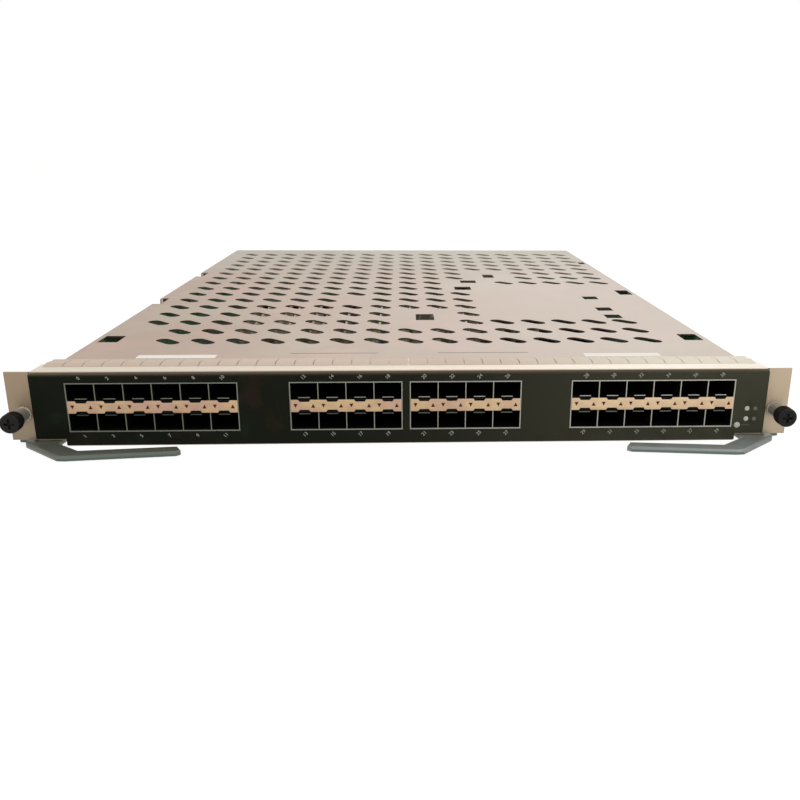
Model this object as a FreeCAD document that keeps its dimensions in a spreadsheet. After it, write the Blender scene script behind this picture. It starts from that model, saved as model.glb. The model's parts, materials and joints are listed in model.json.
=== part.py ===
import FreeCAD, Part
import math
import os
import Sketcher

# Switch line card: a bent faceplate with four stacked port cages, two ejector levers and two
# captive thumbscrews, on a tray with a circuit board, under a cover punched with slanted slots.
# X runs across the card, Y from the faceplate to the backplane, Z up from the underside.
# Depths are counted from the faceplate's front; every sub-part is then moved by panelFront.

SIZES = {
    "panel_width": 397.4, "panel_height": 39.0, "panel_gauge": 1.2,
    "bend_radius": 0.4, "ear_width": 12.0, "ear_bottom": 3.5,
    "lever_notch_width": 15.0, "lever_notch_height": 3.0,
    "flange_inset": 12.7, "flange_depth": 25.0, "flange_step": 2.4, "flange_step_depth": 15.0,
    "film_gauge": 0.3, "film_inset": 11.7, "film_margin": 0.4,
    "finger_pitch": 9.52, "finger_gap": 0.7, "finger_gauge": 0.25, "finger_rise": 0.75,
    "strip_front": 9.5, "strip_crest": 15.5, "strip_seat": 21.0, "strip_rear": 24.6,
    "strip_joint": 1.6, "strip_joint_gap": 0.5,
    "cover_inset": 17.4, "cover_gauge": 1.0, "cover_tuck": 12.0, "cover_tuck_inset": 10.0,
    "cover_rear_gap": 5.0, "cover_flange": 8.0, "cover_flange_front": 28.0, "cover_step": 2.0,
    "slot_length": 17.5, "slot_width": 6.0, "slot_end": 1.3, "slot_angle": 126.0,
    "slot_pitch_across": 20.1, "slot_pitch_along": 26.8, "slot_margin": 23.7, "slot_first_along": 68.3,
    "edge_notch_depth": 7.0, "edge_notch_length": 22.0, "edge_notch_one": 202.5, "edge_notch_two": 333.5,
    "tray_gauge": 1.2, "tray_rear_gap": 9.0, "tray_lip": 6.2, "tray_corner": 12.5,
    "tray_corner_depth": 26.0, "tray_lip_gap": 0.5,
    "board_gauge": 2.4, "board_rise": 5.1, "board_front": 8.0, "board_rear_gap": 3.0,
    "board_corner": 10.0, "board_corner_depth": 28.0, "board_side_gap": 3.1,
    "post_inset": 12.0, "post_pitch": 203.0, "post_first": 66.0, "post_size": 6.0, "post_head": 2.0,
    "cover_screw_first": 70.0, "cover_screw_pitch": 195.0, "cover_screw_rise": 4.0, "cover_screw_head": 5.6,
    "cover_screw_shank": 3.0,
    "port_pitch": 14.12, "outer_columns": 6.0, "inner_columns": 4.0, "cage_inset": 71.45, "inner_cage": 30.4,
    "cage_gauge": 0.5, "cage_height": 25.6, "cage_depth": 48.0, "cage_front": 0.4, "cage_gap": 0.3,
    "divider_gauge": 0.4, "separator_base": 9.9, "separator_height": 6.4, "separator_gauge": 0.4,
    "separator_rear_gap": 2.5, "strip_gauge": 0.4,
    "latch_width": 5.8, "latch_notch": 1.1, "latch_lift": 1.3, "latch_run": 6.0, "latch_root": 0.1,
    "arrow_size": 2.1, "arrow_inset": 2.6, "light_pipe_width": 11.6, "light_pipe_height": 3.6,
    "connector_depth": 9.0, "connector_gap": 0.5,
    "light_inset": 21.4, "light_rise": 17.4, "light_pitch": 5.6, "light_radius": 1.3,
    "alarm_inset": 25.8, "alarm_rise": 8.4, "alarm_radius": 1.6, "light_depth": 3.0, "light_proud": 0.5,
    "screw_inset": 7.4, "screw_rise": 17.4, "screw_gap": 0.3,
    "thread_radius": 2.0, "neck_radius": 1.5, "neck_gap": 0.4, "thread_length": 6.0, "screw_seat": 1.0,
    "ferrule_radius": 3.4, "ferrule_length": 10.0, "ferrule_wall": 1.2, "ferrule_fit": 0.05,
    "collar_radius": 4.0, "collar_length": 1.0, "spring_bore": 3.0,
    "knob_radius": 4.9, "knob_length": 7.0, "knob_bore_depth": 4.6, "knurl_count": 12.0, "knurl_depth": 0.4,
    "recess_width": 1.2, "recess_span": 5.0, "recess_depth": 1.2,
    "spring_radius": 2.25, "spring_wire": 0.5, "spring_turns": 4.0, "spring_end": 0.1,
    "lever_gauge": 2.5, "lever_rise": 0.15, "lever_reach": 22.7, "lever_tip_reach": 16.9,
    "lever_arm": 71.6, "lever_bend": 16.0, "lever_outer": 9.3, "grip_width": 7.6, "grip_chamfer": 1.2,
    "lever_root": 21.5, "lever_root_width": 8.5,
    "pivot_inset": 15.7, "pivot_depth": 12.0, "pivot_radius": 2.5, "pivot_play": 0.05, "pivot_boss": 8.2,
    "claw_reach": 15.0, "claw_slot": 3.6, "pivot_head": 4.0, "pivot_head_gap": 0.2,
    "pivot_head_height": 0.75, "pivot_neck": 2.0,
    "bracket_gauge": 2.0, "bracket_lift": 0.3, "bracket_height": 10.0, "bracket_depth": 23.0,
    "bracket_inner": 9.4, "bracket_outer": 6.2, "bracket_upright": 3.4,
    "chip_size": 42.5, "chip_height": 3.0, "chip_left": -62.0, "chip_right": 42.0, "chip_depth": 172.0,
    "sink_size": 92.0, "sink_base": 3.0, "sink_height": 22.0, "sink_fins": 13.0, "fin_gauge": 1.4,
    "brick_gap": 3.0, "brick_depth": 205.0, "brick_pitch": 62.0, "brick_width": 58.0,
    "brick_length": 37.0, "brick_height": 12.0,
    "coil_size": 11.0, "coil_height": 6.0, "coil_chamfer": 1.4, "coil_gap": 15.0,
    "can_width": 8.0, "can_length": 14.0, "can_height": 5.0, "can_gap": 13.5,
    "riser_width": 104.0, "riser_length": 112.0, "riser_across": -86.0, "riser_depth": 360.0,
    "riser_gauge": 1.6, "riser_lift": 9.0, "riser_inset": 5.0,
    "plug_gap": 16.0, "plug_height": 23.0, "plug_length": 28.0, "plug_rear": 517.0,
    "plug_rib": 1.8, "plug_grooves": 5.0, "plug_groove_depth": 10.0,
    "guide_width": 14.0, "guide_inset": 25.0, "guide_bore": 3.6, "guide_bore_depth": 18.0,
}


class Driven:
    """A size together with the sheet formula that drives it."""

    def __init__(self, number, formula):
        self.number = number
        self.formula = formula

    def __add__(self, other):
        return Driven(self.number + float(other), f"({self.formula} + {formula(other)})")

    def __radd__(self, other):
        return Driven(float(other) + self.number, f"({formula(other)} + {self.formula})")

    def __sub__(self, other):
        return Driven(self.number - float(other), f"({self.formula} - {formula(other)})")

    def __rsub__(self, other):
        return Driven(float(other) - self.number, f"({formula(other)} - {self.formula})")

    def __mul__(self, other):
        return Driven(self.number * float(other), f"({self.formula} * {formula(other)})")

    def __rmul__(self, other):
        return Driven(float(other) * self.number, f"({formula(other)} * {self.formula})")

    def __truediv__(self, other):
        return Driven(self.number / float(other), f"({self.formula} / {formula(other)})")

    def __neg__(self):
        return Driven(-self.number, f"(-{self.formula})")

    def __float__(self):
        return float(self.number)


def formula(value):
    """The text of a driven size, or of a plain number."""
    return value.formula if isinstance(value, Driven) else repr(float(value))


doc = FreeCAD.newDocument("line_card")
sheet = doc.addObject("Spreadsheet::Sheet", "Sizes")
for row, (alias, number) in enumerate(SIZES.items(), 1):
    sheet.set(f"A{row}", alias)
    sheet.set(f"B{row}", str(number))
    sheet.setAlias(f"B{row}", alias)
doc.recompute()


class Dims:
    """The sheet's cells, by alias."""


d = Dims()
for alias, number in SIZES.items():
    setattr(d, alias, Driven(number, "Sizes." + alias))

subParts = []

# Places that several sub-parts share.
panelFront = (d.lever_reach - d.plug_rear) / 2
half = d.panel_width / 2
notchOuter = half - d.ear_width
notchInner = notchOuter - d.lever_notch_width
flangeHalf = half - d.flange_inset
flangeTop = d.panel_height
flangeUnder = flangeTop - d.panel_gauge
coverTop = flangeUnder
coverUnder = coverTop - d.cover_gauge
coverFront = d.flange_depth - d.cover_tuck
coverRear = d.plug_rear - d.cover_rear_gap
coverHalf = half - d.cover_inset
trayHalf = coverHalf - d.cover_gauge
trayRear = coverRear - d.tray_rear_gap
boardHalf = trayHalf - d.tray_gauge - d.board_side_gap
boardTop = d.board_rise + d.board_gauge
cageTop = boardTop + d.cage_height
outerCage = half - d.cage_inset
separatorLow = boardTop + d.separator_base
separatorHigh = separatorLow + d.separator_height
cellWidth = d.port_pitch - d.divider_gauge
connectorFront = d.cage_depth - d.cage_gauge - d.connector_depth
screwAcross = half - d.screw_inset
pivotAcross = half - d.pivot_inset
ferruleRear = d.panel_gauge + d.collar_length
knobRear = -d.ferrule_length - d.screw_gap / 2
knobFront = knobRear - d.knob_length
leverTop = d.lever_rise + d.lever_gauge
bracketFloor = leverTop + d.bracket_lift
guideAcross = boardHalf - d.guide_inset
CAGES = ((1, -outerCage, d.outer_columns), (2, -d.inner_cage, d.inner_columns),
         (3, d.inner_cage, d.inner_columns), (4, outerCage, d.outer_columns))
SIDES = (("left", -1), ("right", 1))

# Sketch planes: origin plane, sign of its normal along its axis.
PLANES = {"level": ("XY_Plane", 1), "front": ("XZ_Plane", -1), "side": ("YZ_Plane", 1)}


def origin(body, role):
    """One of a body's own origin planes or axes."""
    return next(feature for feature in body.Origin.OriginFeatures if feature.Role == role)


def bind(thing, name, value):
    """Tie a property to the sheet."""
    thing.setExpression(name, formula(value))


def place(thing, across=0, depth=0, rise=0):
    """Move a sub-part; its depth is counted from the faceplate's front."""
    bind(thing, "Placement.Base.x", across)
    bind(thing, "Placement.Base.y", panelFront + depth)
    bind(thing, "Placement.Base.z", rise)


def newBody(label):
    body = doc.addObject("PartDesign::Body", label)
    body.Label = label
    place(body)
    subParts.append(body)
    return body


def rectangle(left, right, low, high):
    return [(left, low), (right, low), (right, high), (left, high)]


def mirrored(corners, sign):
    """Corners for the right side of the card, or their mirror image for the left side."""
    return [(sign * x, y) for x, y in corners]


def closedLines(corners):
    """Line segments round a polygon."""
    points = [FreeCAD.Vector(float(x), float(y), 0) for x, y in corners]
    return [Part.LineSegment(start, stop) for start, stop in zip(points, points[1:] + points[:1])]


def drawPolygon(sketch, corners):
    """A closed polygon, each corner held by two driven distances from the sketch's origin."""
    first = sketch.GeometryCount
    count = len(corners)
    sketch.addGeometry(closedLines(corners), False)
    rules = [Sketcher.Constraint("Coincident", first + i, 2, first + (i + 1) % count, 1)
             for i in range(count)]
    for i in range(count):
        rules.append(Sketcher.Constraint("DistanceX", -1, 1, first + i, 1, float(corners[i][0])))
        rules.append(Sketcher.Constraint("DistanceY", -1, 1, first + i, 1, float(corners[i][1])))
    start = sketch.ConstraintCount + count
    sketch.addConstraint(rules)
    for i, (x, y) in enumerate(corners):
        sketch.setExpression(f"Constraints[{start + 2 * i}]", formula(x))
        sketch.setExpression(f"Constraints[{start + 2 * i + 1}]", formula(y))


def drawCircle(sketch, x, y, radius):
    """A circle with its centre and radius driven by the sheet."""
    centre = FreeCAD.Vector(float(x), float(y), 0)
    number = sketch.addGeometry(Part.Circle(centre, FreeCAD.Vector(0, 0, 1), float(radius)), False)
    start = sketch.ConstraintCount
    sketch.addConstraint([Sketcher.Constraint("DistanceX", -1, 1, number, 3, centre.x),
                          Sketcher.Constraint("DistanceY", -1, 1, number, 3, centre.y),
                          Sketcher.Constraint("Radius", number, float(radius))])
    for i, value in enumerate((x, y, radius)):
        sketch.setExpression(f"Constraints[{start + i}]", formula(value))


def newSketch(body, plane, start, loops, punched=()):
    """A sketch of driven loops (corner lists, or x-y-radius circles) and of plain punched outlines."""
    role, sign = PLANES[plane]
    sketch = body.newObject("Sketcher::SketchObject", body.Label + "_outline")
    sketch.AttachmentSupport = [(origin(body, role), "")]
    sketch.MapMode = "FlatFace"
    bind(sketch, "AttachmentOffset.Base.z", start if sign > 0 else -start)
    for loop in loops:
        if isinstance(loop, tuple):
            drawCircle(sketch, *loop)
        else:
            drawPolygon(sketch, loop)
    lines = [line for corners in punched for line in closedLines(corners)]
    if lines:
        sketch.addGeometry(lines, False)
    return sketch


def pad(body, plane, start, depth, loops, punched=()):
    """Material from start over depth, counted along X, Y or Z."""
    feature = body.newObject("PartDesign::Pad", body.Label + "_pad")
    feature.Profile = newSketch(body, plane, start, loops, punched)
    feature.Reversed = PLANES[plane][1] < 0
    bind(feature, "Length", depth)
    return feature


def cut(body, plane, start, depth, loops, punched=()):
    """Take away from start over depth, counted along X, Y or Z."""
    feature = body.newObject("PartDesign::Pocket", body.Label + "_cut")
    feature.Profile = newSketch(body, plane, start, loops, punched)
    feature.Reversed = PLANES[plane][1] > 0
    bind(feature, "Length", depth)
    return feature


def repeat(body, features, count, pitch, axis="X_Axis", rows=1, rowPitch=0, rowAxis="Y_Axis"):
    """Copies of features along one axis of their body, or in a grid along two."""
    pattern = body.newObject("PartDesign::LinearPattern", body.Label + "_row")
    pattern.Originals = features
    pattern.Direction = (origin(body, axis), [""])
    bind(pattern, "Length", pitch * (count - 1))
    bind(pattern, "Occurrences", count)
    if rows > 1:
        pattern.Direction2 = (origin(body, rowAxis), [""])
        bind(pattern, "Length2", rowPitch * (rows - 1))
        pattern.Occurrences2 = rows
    body.Tip = pattern
    return pattern


def easeEdges(body, base, kind, size, wanted):
    """Fillet or chamfer the edges of the last feature that the test picks."""
    doc.recompute()
    names = [f"Edge{i}" for i, edge in enumerate(base.Shape.Edges, 1) if wanted(edge)]
    feature = body.newObject("PartDesign::" + kind, body.Label + "_" + kind.lower())
    feature.Base = (base, names)
    bind(feature, {"Fillet": "Radius", "Chamfer": "Size"}[kind], size)
    return feature


def ring(x, y, radius, flats=12):
    """A small round outline, or a hexagon, in equal flats."""
    turns = [2 * math.pi * i / flats for i in range(flats)]
    return [(x + radius * math.cos(turn), y + radius * math.sin(turn)) for turn in turns]


def eachSide(across, rise, radius, flats=12):
    """The same ring on the left and on the right of the card."""
    return [ring(sign * across, rise, radius, flats) for name, sign in SIDES]


def columnCentre(centre, columns):
    """Middle of the first port column of a cage."""
    return centre - d.port_pitch * (columns - 1) / 2


def cageHalf(columns):
    """Half the outer width of a cage."""
    return (columns * d.port_pitch - d.divider_gauge) / 2 + d.cage_gauge


def cageWindows(gap):
    """The four openings that the cages stand in."""
    return [rectangle(centre - cageHalf(columns) - gap, centre + cageHalf(columns) + gap,
                      boardTop - gap, cageTop + gap) for number, centre, columns in CAGES]


def lightHoles():
    """Holes of the three status lights."""
    across = half - d.light_inset
    places = [(across, d.light_rise, d.light_radius), (across, d.light_rise - d.light_pitch, d.light_radius),
              (half - d.alarm_inset, d.alarm_rise, d.alarm_radius)]
    return [ring(x, z, radius) for x, z, radius in places]


def makeFaceplate():
    body = newBody("faceplate")
    profile = [(0, 0), (d.panel_gauge, 0), (d.panel_gauge, flangeUnder), (d.flange_depth, flangeUnder),
               (d.flange_depth, flangeTop), (0, flangeTop)]
    bent = pad(body, "side", -flangeHalf, 2 * flangeHalf, [profile])
    inner = easeEdges(body, bent, "Fillet", d.bend_radius,
                      lambda edge: isBend(edge, d.panel_gauge, flangeUnder))
    easeEdges(body, inner, "Fillet", d.bend_radius + d.panel_gauge, lambda edge: isBend(edge, 0, flangeTop))
    ears = [rectangle(sign * flangeHalf, sign * half, d.ear_bottom, flangeTop) for name, sign in SIDES]
    pad(body, "front", 0, d.panel_gauge, ears)
    notches = [rectangle(sign * notchInner, sign * (half + 1), -1, d.lever_notch_height)
               for name, sign in SIDES]
    cut(body, "front", -1, d.panel_gauge + 2, notches)
    steps = [rectangle(sign * (flangeHalf - d.flange_step), sign * half, d.flange_step_depth,
                       d.flange_depth + 1) for name, sign in SIDES]
    cut(body, "level", flangeUnder - 1, d.panel_gauge + 2, steps)
    holes = eachSide(screwAcross, d.screw_rise, d.ferrule_radius + d.ferrule_fit)
    cut(body, "front", -1, d.panel_gauge + 2, cageWindows(d.cage_gap) + holes + lightHoles())


def isBend(edge, depth, rise):
    """Whether an edge runs across the card at this depth and height."""
    box = edge.BoundBox
    level = abs(box.YMin - float(depth)) + abs(box.YMax - float(depth))
    level += abs(box.ZMin - float(rise)) + abs(box.ZMax - float(rise))
    return level < 0.001


def makeFilm():
    body = newBody("front_film")
    side = half - d.film_inset
    step = notchInner + d.film_margin
    raised = d.ear_bottom + d.film_margin
    top = flangeTop - d.bend_radius - d.panel_gauge
    outline = [(-step, raised), (-step, d.film_margin), (step, d.film_margin), (step, raised),
               (side, raised), (side, top), (-side, top), (-side, raised)]
    pad(body, "front", -d.film_gauge, d.film_gauge, [outline] + cageWindows(d.cage_gap) + lightHoles())


def makeStatusLights():
    body = newBody("status_lights")
    pad(body, "front", -d.light_proud, d.light_depth, lightHoles())


def makeFingerStrips():
    """Two strips of sprung contact fingers along the top flange, slit from the front."""
    reach = flangeHalf - d.flange_step
    ends = {"left": (-reach, d.strip_joint - d.strip_joint_gap), "right": (d.strip_joint, reach)}
    low = flangeTop
    leaf = [(d.strip_front, low), (d.strip_front, low + d.finger_gauge),
            (d.strip_crest, low + d.finger_gauge + d.finger_rise), (d.strip_seat, low + d.finger_gauge),
            (d.strip_rear, low + d.finger_gauge), (d.strip_rear, low), (d.strip_seat, low),
            (d.strip_crest, low + d.finger_rise)]
    for name, sign in SIDES:
        start, stop = ends[name]
        body = newBody("finger_strip_" + name)
        pad(body, "side", start, stop - start, [leaf])
        count = int(float(reach - d.strip_joint) / float(d.finger_pitch))
        middle = start + ((stop - start) - (count - 1) * d.finger_pitch) / 2
        slit = cut(body, "level", low - 1, d.finger_gauge + d.finger_rise + 2,
                   [rectangle(middle - d.finger_gap / 2, middle + d.finger_gap / 2,
                              d.strip_front - 1, d.strip_seat - 0.5)])
        repeat(body, [slit], count, d.finger_pitch)


# Fields of the cover's slot grid: first column, first row, columns, rows.
SLOT_FIELDS = ((1, 0, 15, 2), (0, 2, 8, 2), (10, 2, 6, 1), (10, 3, 1, 4), (0, 4, 10, 1), (0, 5, 6, 1),
               (7, 5, 3, 1), (0, 6, 10, 3), (12, 8, 5, 1), (0, 9, 11, 2), (13, 9, 4, 2), (0, 11, 17, 5))
# Rectangular cover windows: the side edge they are measured from (0 for the middle), place across,
# place along, width, length.
WINDOWS = ((0, 13.4, 141, 12, 20), (0, 140.8, 213, 10.7, 12), (0, 140.8, 168, 10.7, 12),
           (0, 140.8, 142, 10.7, 12), (0, 74.1, 323, 9.3, 18), (0, 54.1, 292, 13, 13),
           (0, 47.1, 258, 13, 15), (-1, 9.7, 78, 11.3, 16.7), (1, -9.7, 78, 11.3, 16.7),
           (1, -8.7, 237, 10, 20), (1, -5.9, 408, 6, 14))


def slotCorners(across, along):
    """A long slot turned to the slot angle; its ends are square here."""
    turn = math.radians(float(d.slot_angle))
    reach = float(d.slot_length - d.slot_end) / 2
    side = float(d.slot_width) / 2
    return [(across + x * math.cos(turn) - y * math.sin(turn),
             along + x * math.sin(turn) + y * math.cos(turn))
            for x, y in rectangle(-reach, reach, -side, side)]


def slotPattern():
    """Every slot of the cover's fields."""
    first = d.slot_margin - coverHalf
    slots = []
    for column, row, columns, rows in SLOT_FIELDS:
        for i in range(column, column + columns):
            for j in range(row, row + rows):
                slots.append(slotCorners(float(first + i * d.slot_pitch_across),
                                         float(d.slot_first_along + j * d.slot_pitch_along)))
    return slots


def coverWindows():
    """The cover's rectangular windows."""
    places = [(float(side * coverHalf) + x, y, wide / 2, long / 2) for side, x, y, wide, long in WINDOWS]
    return [rectangle(x - wide, x + wide, y - long, y + long) for x, y, wide, long in places]


def edgeNotches():
    """Low and high ends of the two notches in the left edge."""
    return [(middle - d.edge_notch_length / 2, middle + d.edge_notch_length / 2)
            for middle in (d.edge_notch_one, d.edge_notch_two)]


def coverOutline():
    """Cover seen from above, narrower where it tucks under the faceplate's flange."""
    tuckHalf = flangeHalf - d.flange_step - d.cover_tuck_inset
    inner = -coverHalf + d.edge_notch_depth
    step = d.cover_flange_front - d.cover_step
    corners = [(-tuckHalf, coverFront), (tuckHalf, coverFront), (tuckHalf, step), (coverHalf, step),
               (coverHalf, coverRear), (-coverHalf, coverRear)]
    for low, high in reversed(edgeNotches()):
        corners += [(-coverHalf, high), (inner, high), (inner, low), (-coverHalf, low)]
    return corners + [(-coverHalf, step), (-tuckHalf, step)]


def sideStretches(front, rear):
    """Stretches of the left wall between its notches."""
    places = [front]
    for low, high in edgeNotches():
        places += [low, high]
    places.append(rear)
    return [(places[i], places[i + 1]) for i in range(0, len(places), 2)]


def coverScrews(radius, flats=8):
    """Outlines of the three cover screws of one side, or of their holes."""
    return [ring(d.cover_screw_first + i * d.cover_screw_pitch, coverTop - d.cover_screw_rise, radius, flats)
            for i in range(3)]


def makeCover():
    body = newBody("top_cover")
    pad(body, "level", coverUnder, d.cover_gauge, [coverOutline()])
    low = coverTop - d.cover_flange
    holes = coverScrews(d.cover_screw_head / 2)
    walls = [rectangle(front, rear, low, coverUnder)
             for front, rear in sideStretches(d.cover_flange_front, coverRear)]
    pad(body, "side", -coverHalf, d.cover_gauge, walls + holes)
    pad(body, "side", trayHalf, d.cover_gauge,
        [rectangle(d.cover_flange_front, coverRear, low, coverUnder)] + holes)
    cut(body, "level", coverUnder - 1, d.cover_gauge + 2, [], slotPattern() + coverWindows())


def makeCoverScrews():
    """Flush screws through the cover's side flanges into the tray walls."""
    body = newBody("cover_screws")
    for start in (-coverHalf, trayHalf):
        pad(body, "side", start, d.cover_gauge, coverScrews(d.cover_screw_head / 2))
    for start in (-trayHalf, trayHalf - d.tray_gauge):
        pad(body, "side", start, d.tray_gauge, coverScrews(d.cover_screw_shank / 2, 6))


def makeTray():
    body = newBody("base_tray")
    inner = trayHalf - d.tray_corner
    front = d.panel_gauge
    outline = [(-inner, front), (inner, front), (inner, d.tray_corner_depth),
               (trayHalf, d.tray_corner_depth), (trayHalf, trayRear), (-trayHalf, trayRear),
               (-trayHalf, d.tray_corner_depth), (-inner, d.tray_corner_depth)]
    pad(body, "level", 0, d.tray_gauge, [outline])
    holes = coverScrews(d.cover_screw_shank / 2, 6)
    deep = d.edge_notch_depth + d.cover_gauge
    notched = [(d.cover_flange_front, d.tray_gauge), (trayRear, d.tray_gauge), (trayRear, coverUnder)]
    for low, high in reversed(edgeNotches()):
        notched += [(high, coverUnder), (high, coverUnder - deep),
                    (low, coverUnder - deep), (low, coverUnder)]
    notched.append((d.cover_flange_front, coverUnder))
    pad(body, "side", -trayHalf, d.tray_gauge, [notched] + holes)
    plain = rectangle(d.cover_flange_front, trayRear, d.tray_gauge, coverUnder)
    pad(body, "side", trayHalf - d.tray_gauge, d.tray_gauge, [plain] + holes)
    pad(body, "front", front, d.tray_gauge, [rectangle(-inner, inner, d.tray_gauge, d.tray_lip)])
    pad(body, "front", trayRear - d.tray_gauge, d.tray_gauge,
        [rectangle(-inner, inner, d.tray_gauge, d.board_rise - d.tray_lip_gap)])


def makeBoard():
    body = newBody("main_board")
    inner = boardHalf - d.board_corner
    rear = trayRear - d.board_rear_gap
    outline = [(-inner, d.board_front), (inner, d.board_front), (inner, d.board_corner_depth),
               (boardHalf, d.board_corner_depth), (boardHalf, rear), (-boardHalf, rear),
               (-boardHalf, d.board_corner_depth), (-inner, d.board_corner_depth)]
    pad(body, "level", d.board_rise, d.board_gauge, [outline])


def makeStandoffs():
    """Posts from the tray to the board, with a hexagon screw head above each."""
    posts = newBody("board_standoffs")
    heads = newBody("board_screws")
    across = boardHalf - d.post_inset
    corners = ring(-across, d.post_first, d.post_size / 2, 6)
    lower = pad(posts, "level", d.tray_gauge, d.board_rise - d.tray_gauge, [corners])
    upper = pad(heads, "level", boardTop, d.post_head, [corners])
    repeat(posts, [lower], 3, across, "X_Axis", 3, d.post_pitch)
    repeat(heads, [upper], 3, across, "X_Axis", 3, d.post_pitch)


def makeCage(number, centre, columns):
    """Folded shell, floor and dividers of one stacked port cage."""
    side = cageHalf(columns)
    left = centre - side
    right = centre + side
    gauge = d.cage_gauge
    shell = newBody(f"cage_shell_{number}")
    bridge = [(left, boardTop), (left + gauge, boardTop), (left + gauge, cageTop - gauge),
              (right - gauge, cageTop - gauge), (right - gauge, boardTop), (right, boardTop),
              (right, cageTop), (left, cageTop)]
    length = d.cage_front + d.cage_depth
    pad(shell, "front", -d.cage_front, length - gauge, [bridge])
    pad(shell, "front", d.cage_depth - gauge, gauge, [rectangle(left, right, boardTop, cageTop)])
    floor = newBody(f"cage_floor_{number}")
    pad(floor, "level", boardTop, gauge,
        [rectangle(left + gauge, right - gauge, -d.cage_front, d.cage_depth - gauge)])
    dividers = newBody(f"cage_dividers_{number}")
    edge = columnCentre(centre, columns) + d.port_pitch / 2
    wall = pad(dividers, "level", boardTop + gauge, d.cage_height - 2 * gauge,
               [rectangle(edge - d.divider_gauge / 2, edge + d.divider_gauge / 2,
                          -d.cage_front, d.cage_depth - gauge)])
    repeat(dividers, [wall], columns - 1, d.port_pitch)


def makeSeparators(number, centre, columns):
    """One channel per column between the upper and the lower port, with a sprung latch tab on each side."""
    channels = newBody(f"port_separators_{number}")
    gauge = d.separator_gauge
    front = -d.cage_front
    rear = connectorFront - d.separator_rear_gap
    profile = [(front, separatorLow), (rear, separatorLow), (rear, separatorHigh), (front, separatorHigh),
               (front, separatorHigh - gauge), (rear - gauge, separatorHigh - gauge),
               (rear - gauge, separatorLow + gauge), (front, separatorLow + gauge)]
    tip = separatorHigh + d.latch_lift
    root = separatorHigh + d.latch_root
    upper = [(front, tip - gauge), (front, tip), (d.latch_run, root), (d.latch_run, root - gauge)]
    lower = [(y, separatorLow + separatorHigh - z) for y, z in upper]
    first = columnCentre(centre, columns)
    bar = pad(channels, "side", first - cellWidth / 2, cellWidth, [profile])
    tabs = pad(channels, "side", first - d.latch_width / 2, d.latch_width, [upper, lower])
    repeat(channels, [bar, tabs], columns, d.port_pitch)


def makeCentreStrip(number, centre, columns):
    """Front strip between the two port rows: latch notches above and below, two arrow windows a column."""
    body = newBody(f"centre_strip_{number}")
    side = cageHalf(columns) - d.cage_gauge
    notch = d.latch_width / 2
    slope = d.latch_notch / 2
    low = separatorLow + d.latch_notch
    high = separatorHigh - d.latch_notch
    front = -d.cage_front - d.strip_gauge
    bar = rectangle(centre - side, centre + side, separatorLow, separatorHigh)
    pad(body, "front", front, d.strip_gauge, [bar])
    column = columnCentre(centre, columns)
    lower = [(column - notch - slope, separatorLow - slope), (column + notch + slope, separatorLow - slope),
             (column + notch - slope, low), (column - notch + slope, low)]
    upper = [(column + notch + slope, separatorHigh + slope),
             (column - notch - slope, separatorHigh + slope),
             (column - notch + slope, high), (column + notch - slope, high)]
    rise = (separatorLow + separatorHigh) / 2
    reach = d.arrow_size / 2
    left = column - d.port_pitch / 2 + d.arrow_inset
    right = column + d.port_pitch / 2 - d.arrow_inset
    down = [(left - reach, rise + reach), (left, rise - reach), (left + reach, rise + reach)]
    up = [(right - reach, rise - reach), (right + reach, rise - reach), (right, rise + reach)]
    openings = cut(body, "front", front - 1, d.strip_gauge + 2, [lower, upper, down, up])
    repeat(body, [openings], columns, d.port_pitch)


def makeLightPipes():
    """A light pipe in every separator channel, behind its two arrows."""
    body = newBody("light_pipes")
    rise = (separatorLow + separatorHigh) / 2
    tall = d.light_pipe_height / 2
    side = d.light_pipe_width / 2
    rear = connectorFront - d.separator_rear_gap - d.separator_gauge
    for number, centre, columns in CAGES:
        column = columnCentre(centre, columns)
        pipe = pad(body, "front", -d.cage_front, rear + d.cage_front,
                   [rectangle(column - side, column + side, rise - tall, rise + tall)])
        repeat(body, [pipe], columns, d.port_pitch)


def makePortConnectors():
    """A stacked connector block at the rear of every column."""
    low = boardTop + d.cage_gauge
    high = cageTop - d.cage_gauge - d.connector_gap
    wide = cellWidth - 2 * d.connector_gap
    for number, centre, columns in CAGES:
        body = newBody(f"port_connectors_{number}")
        left = columnCentre(centre, columns) - wide / 2
        block = rectangle(left, left + wide, low, high)
        column = pad(body, "front", connectorFront, d.connector_depth, [block])
        repeat(body, [column], columns, d.port_pitch)


def makeFerrules():
    """Flanged bushes pressed into the ears; each holds a captive screw and its spring."""
    body = newBody("screw_ferrules")
    front = -d.ferrule_length
    pad(body, "front", front, ferruleRear - front, eachSide(screwAcross, d.screw_rise, d.ferrule_radius))
    for start in (-d.collar_length, d.panel_gauge):
        pad(body, "front", start, d.collar_length, eachSide(screwAcross, d.screw_rise, d.collar_radius))
    cut(body, "front", front - 1, ferruleRear - d.ferrule_wall - front + 1,
        eachSide(screwAcross, d.screw_rise, d.spring_bore))
    cut(body, "front", 0, ferruleRear + 1, eachSide(screwAcross, d.screw_rise, d.neck_radius + d.neck_gap))


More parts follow.
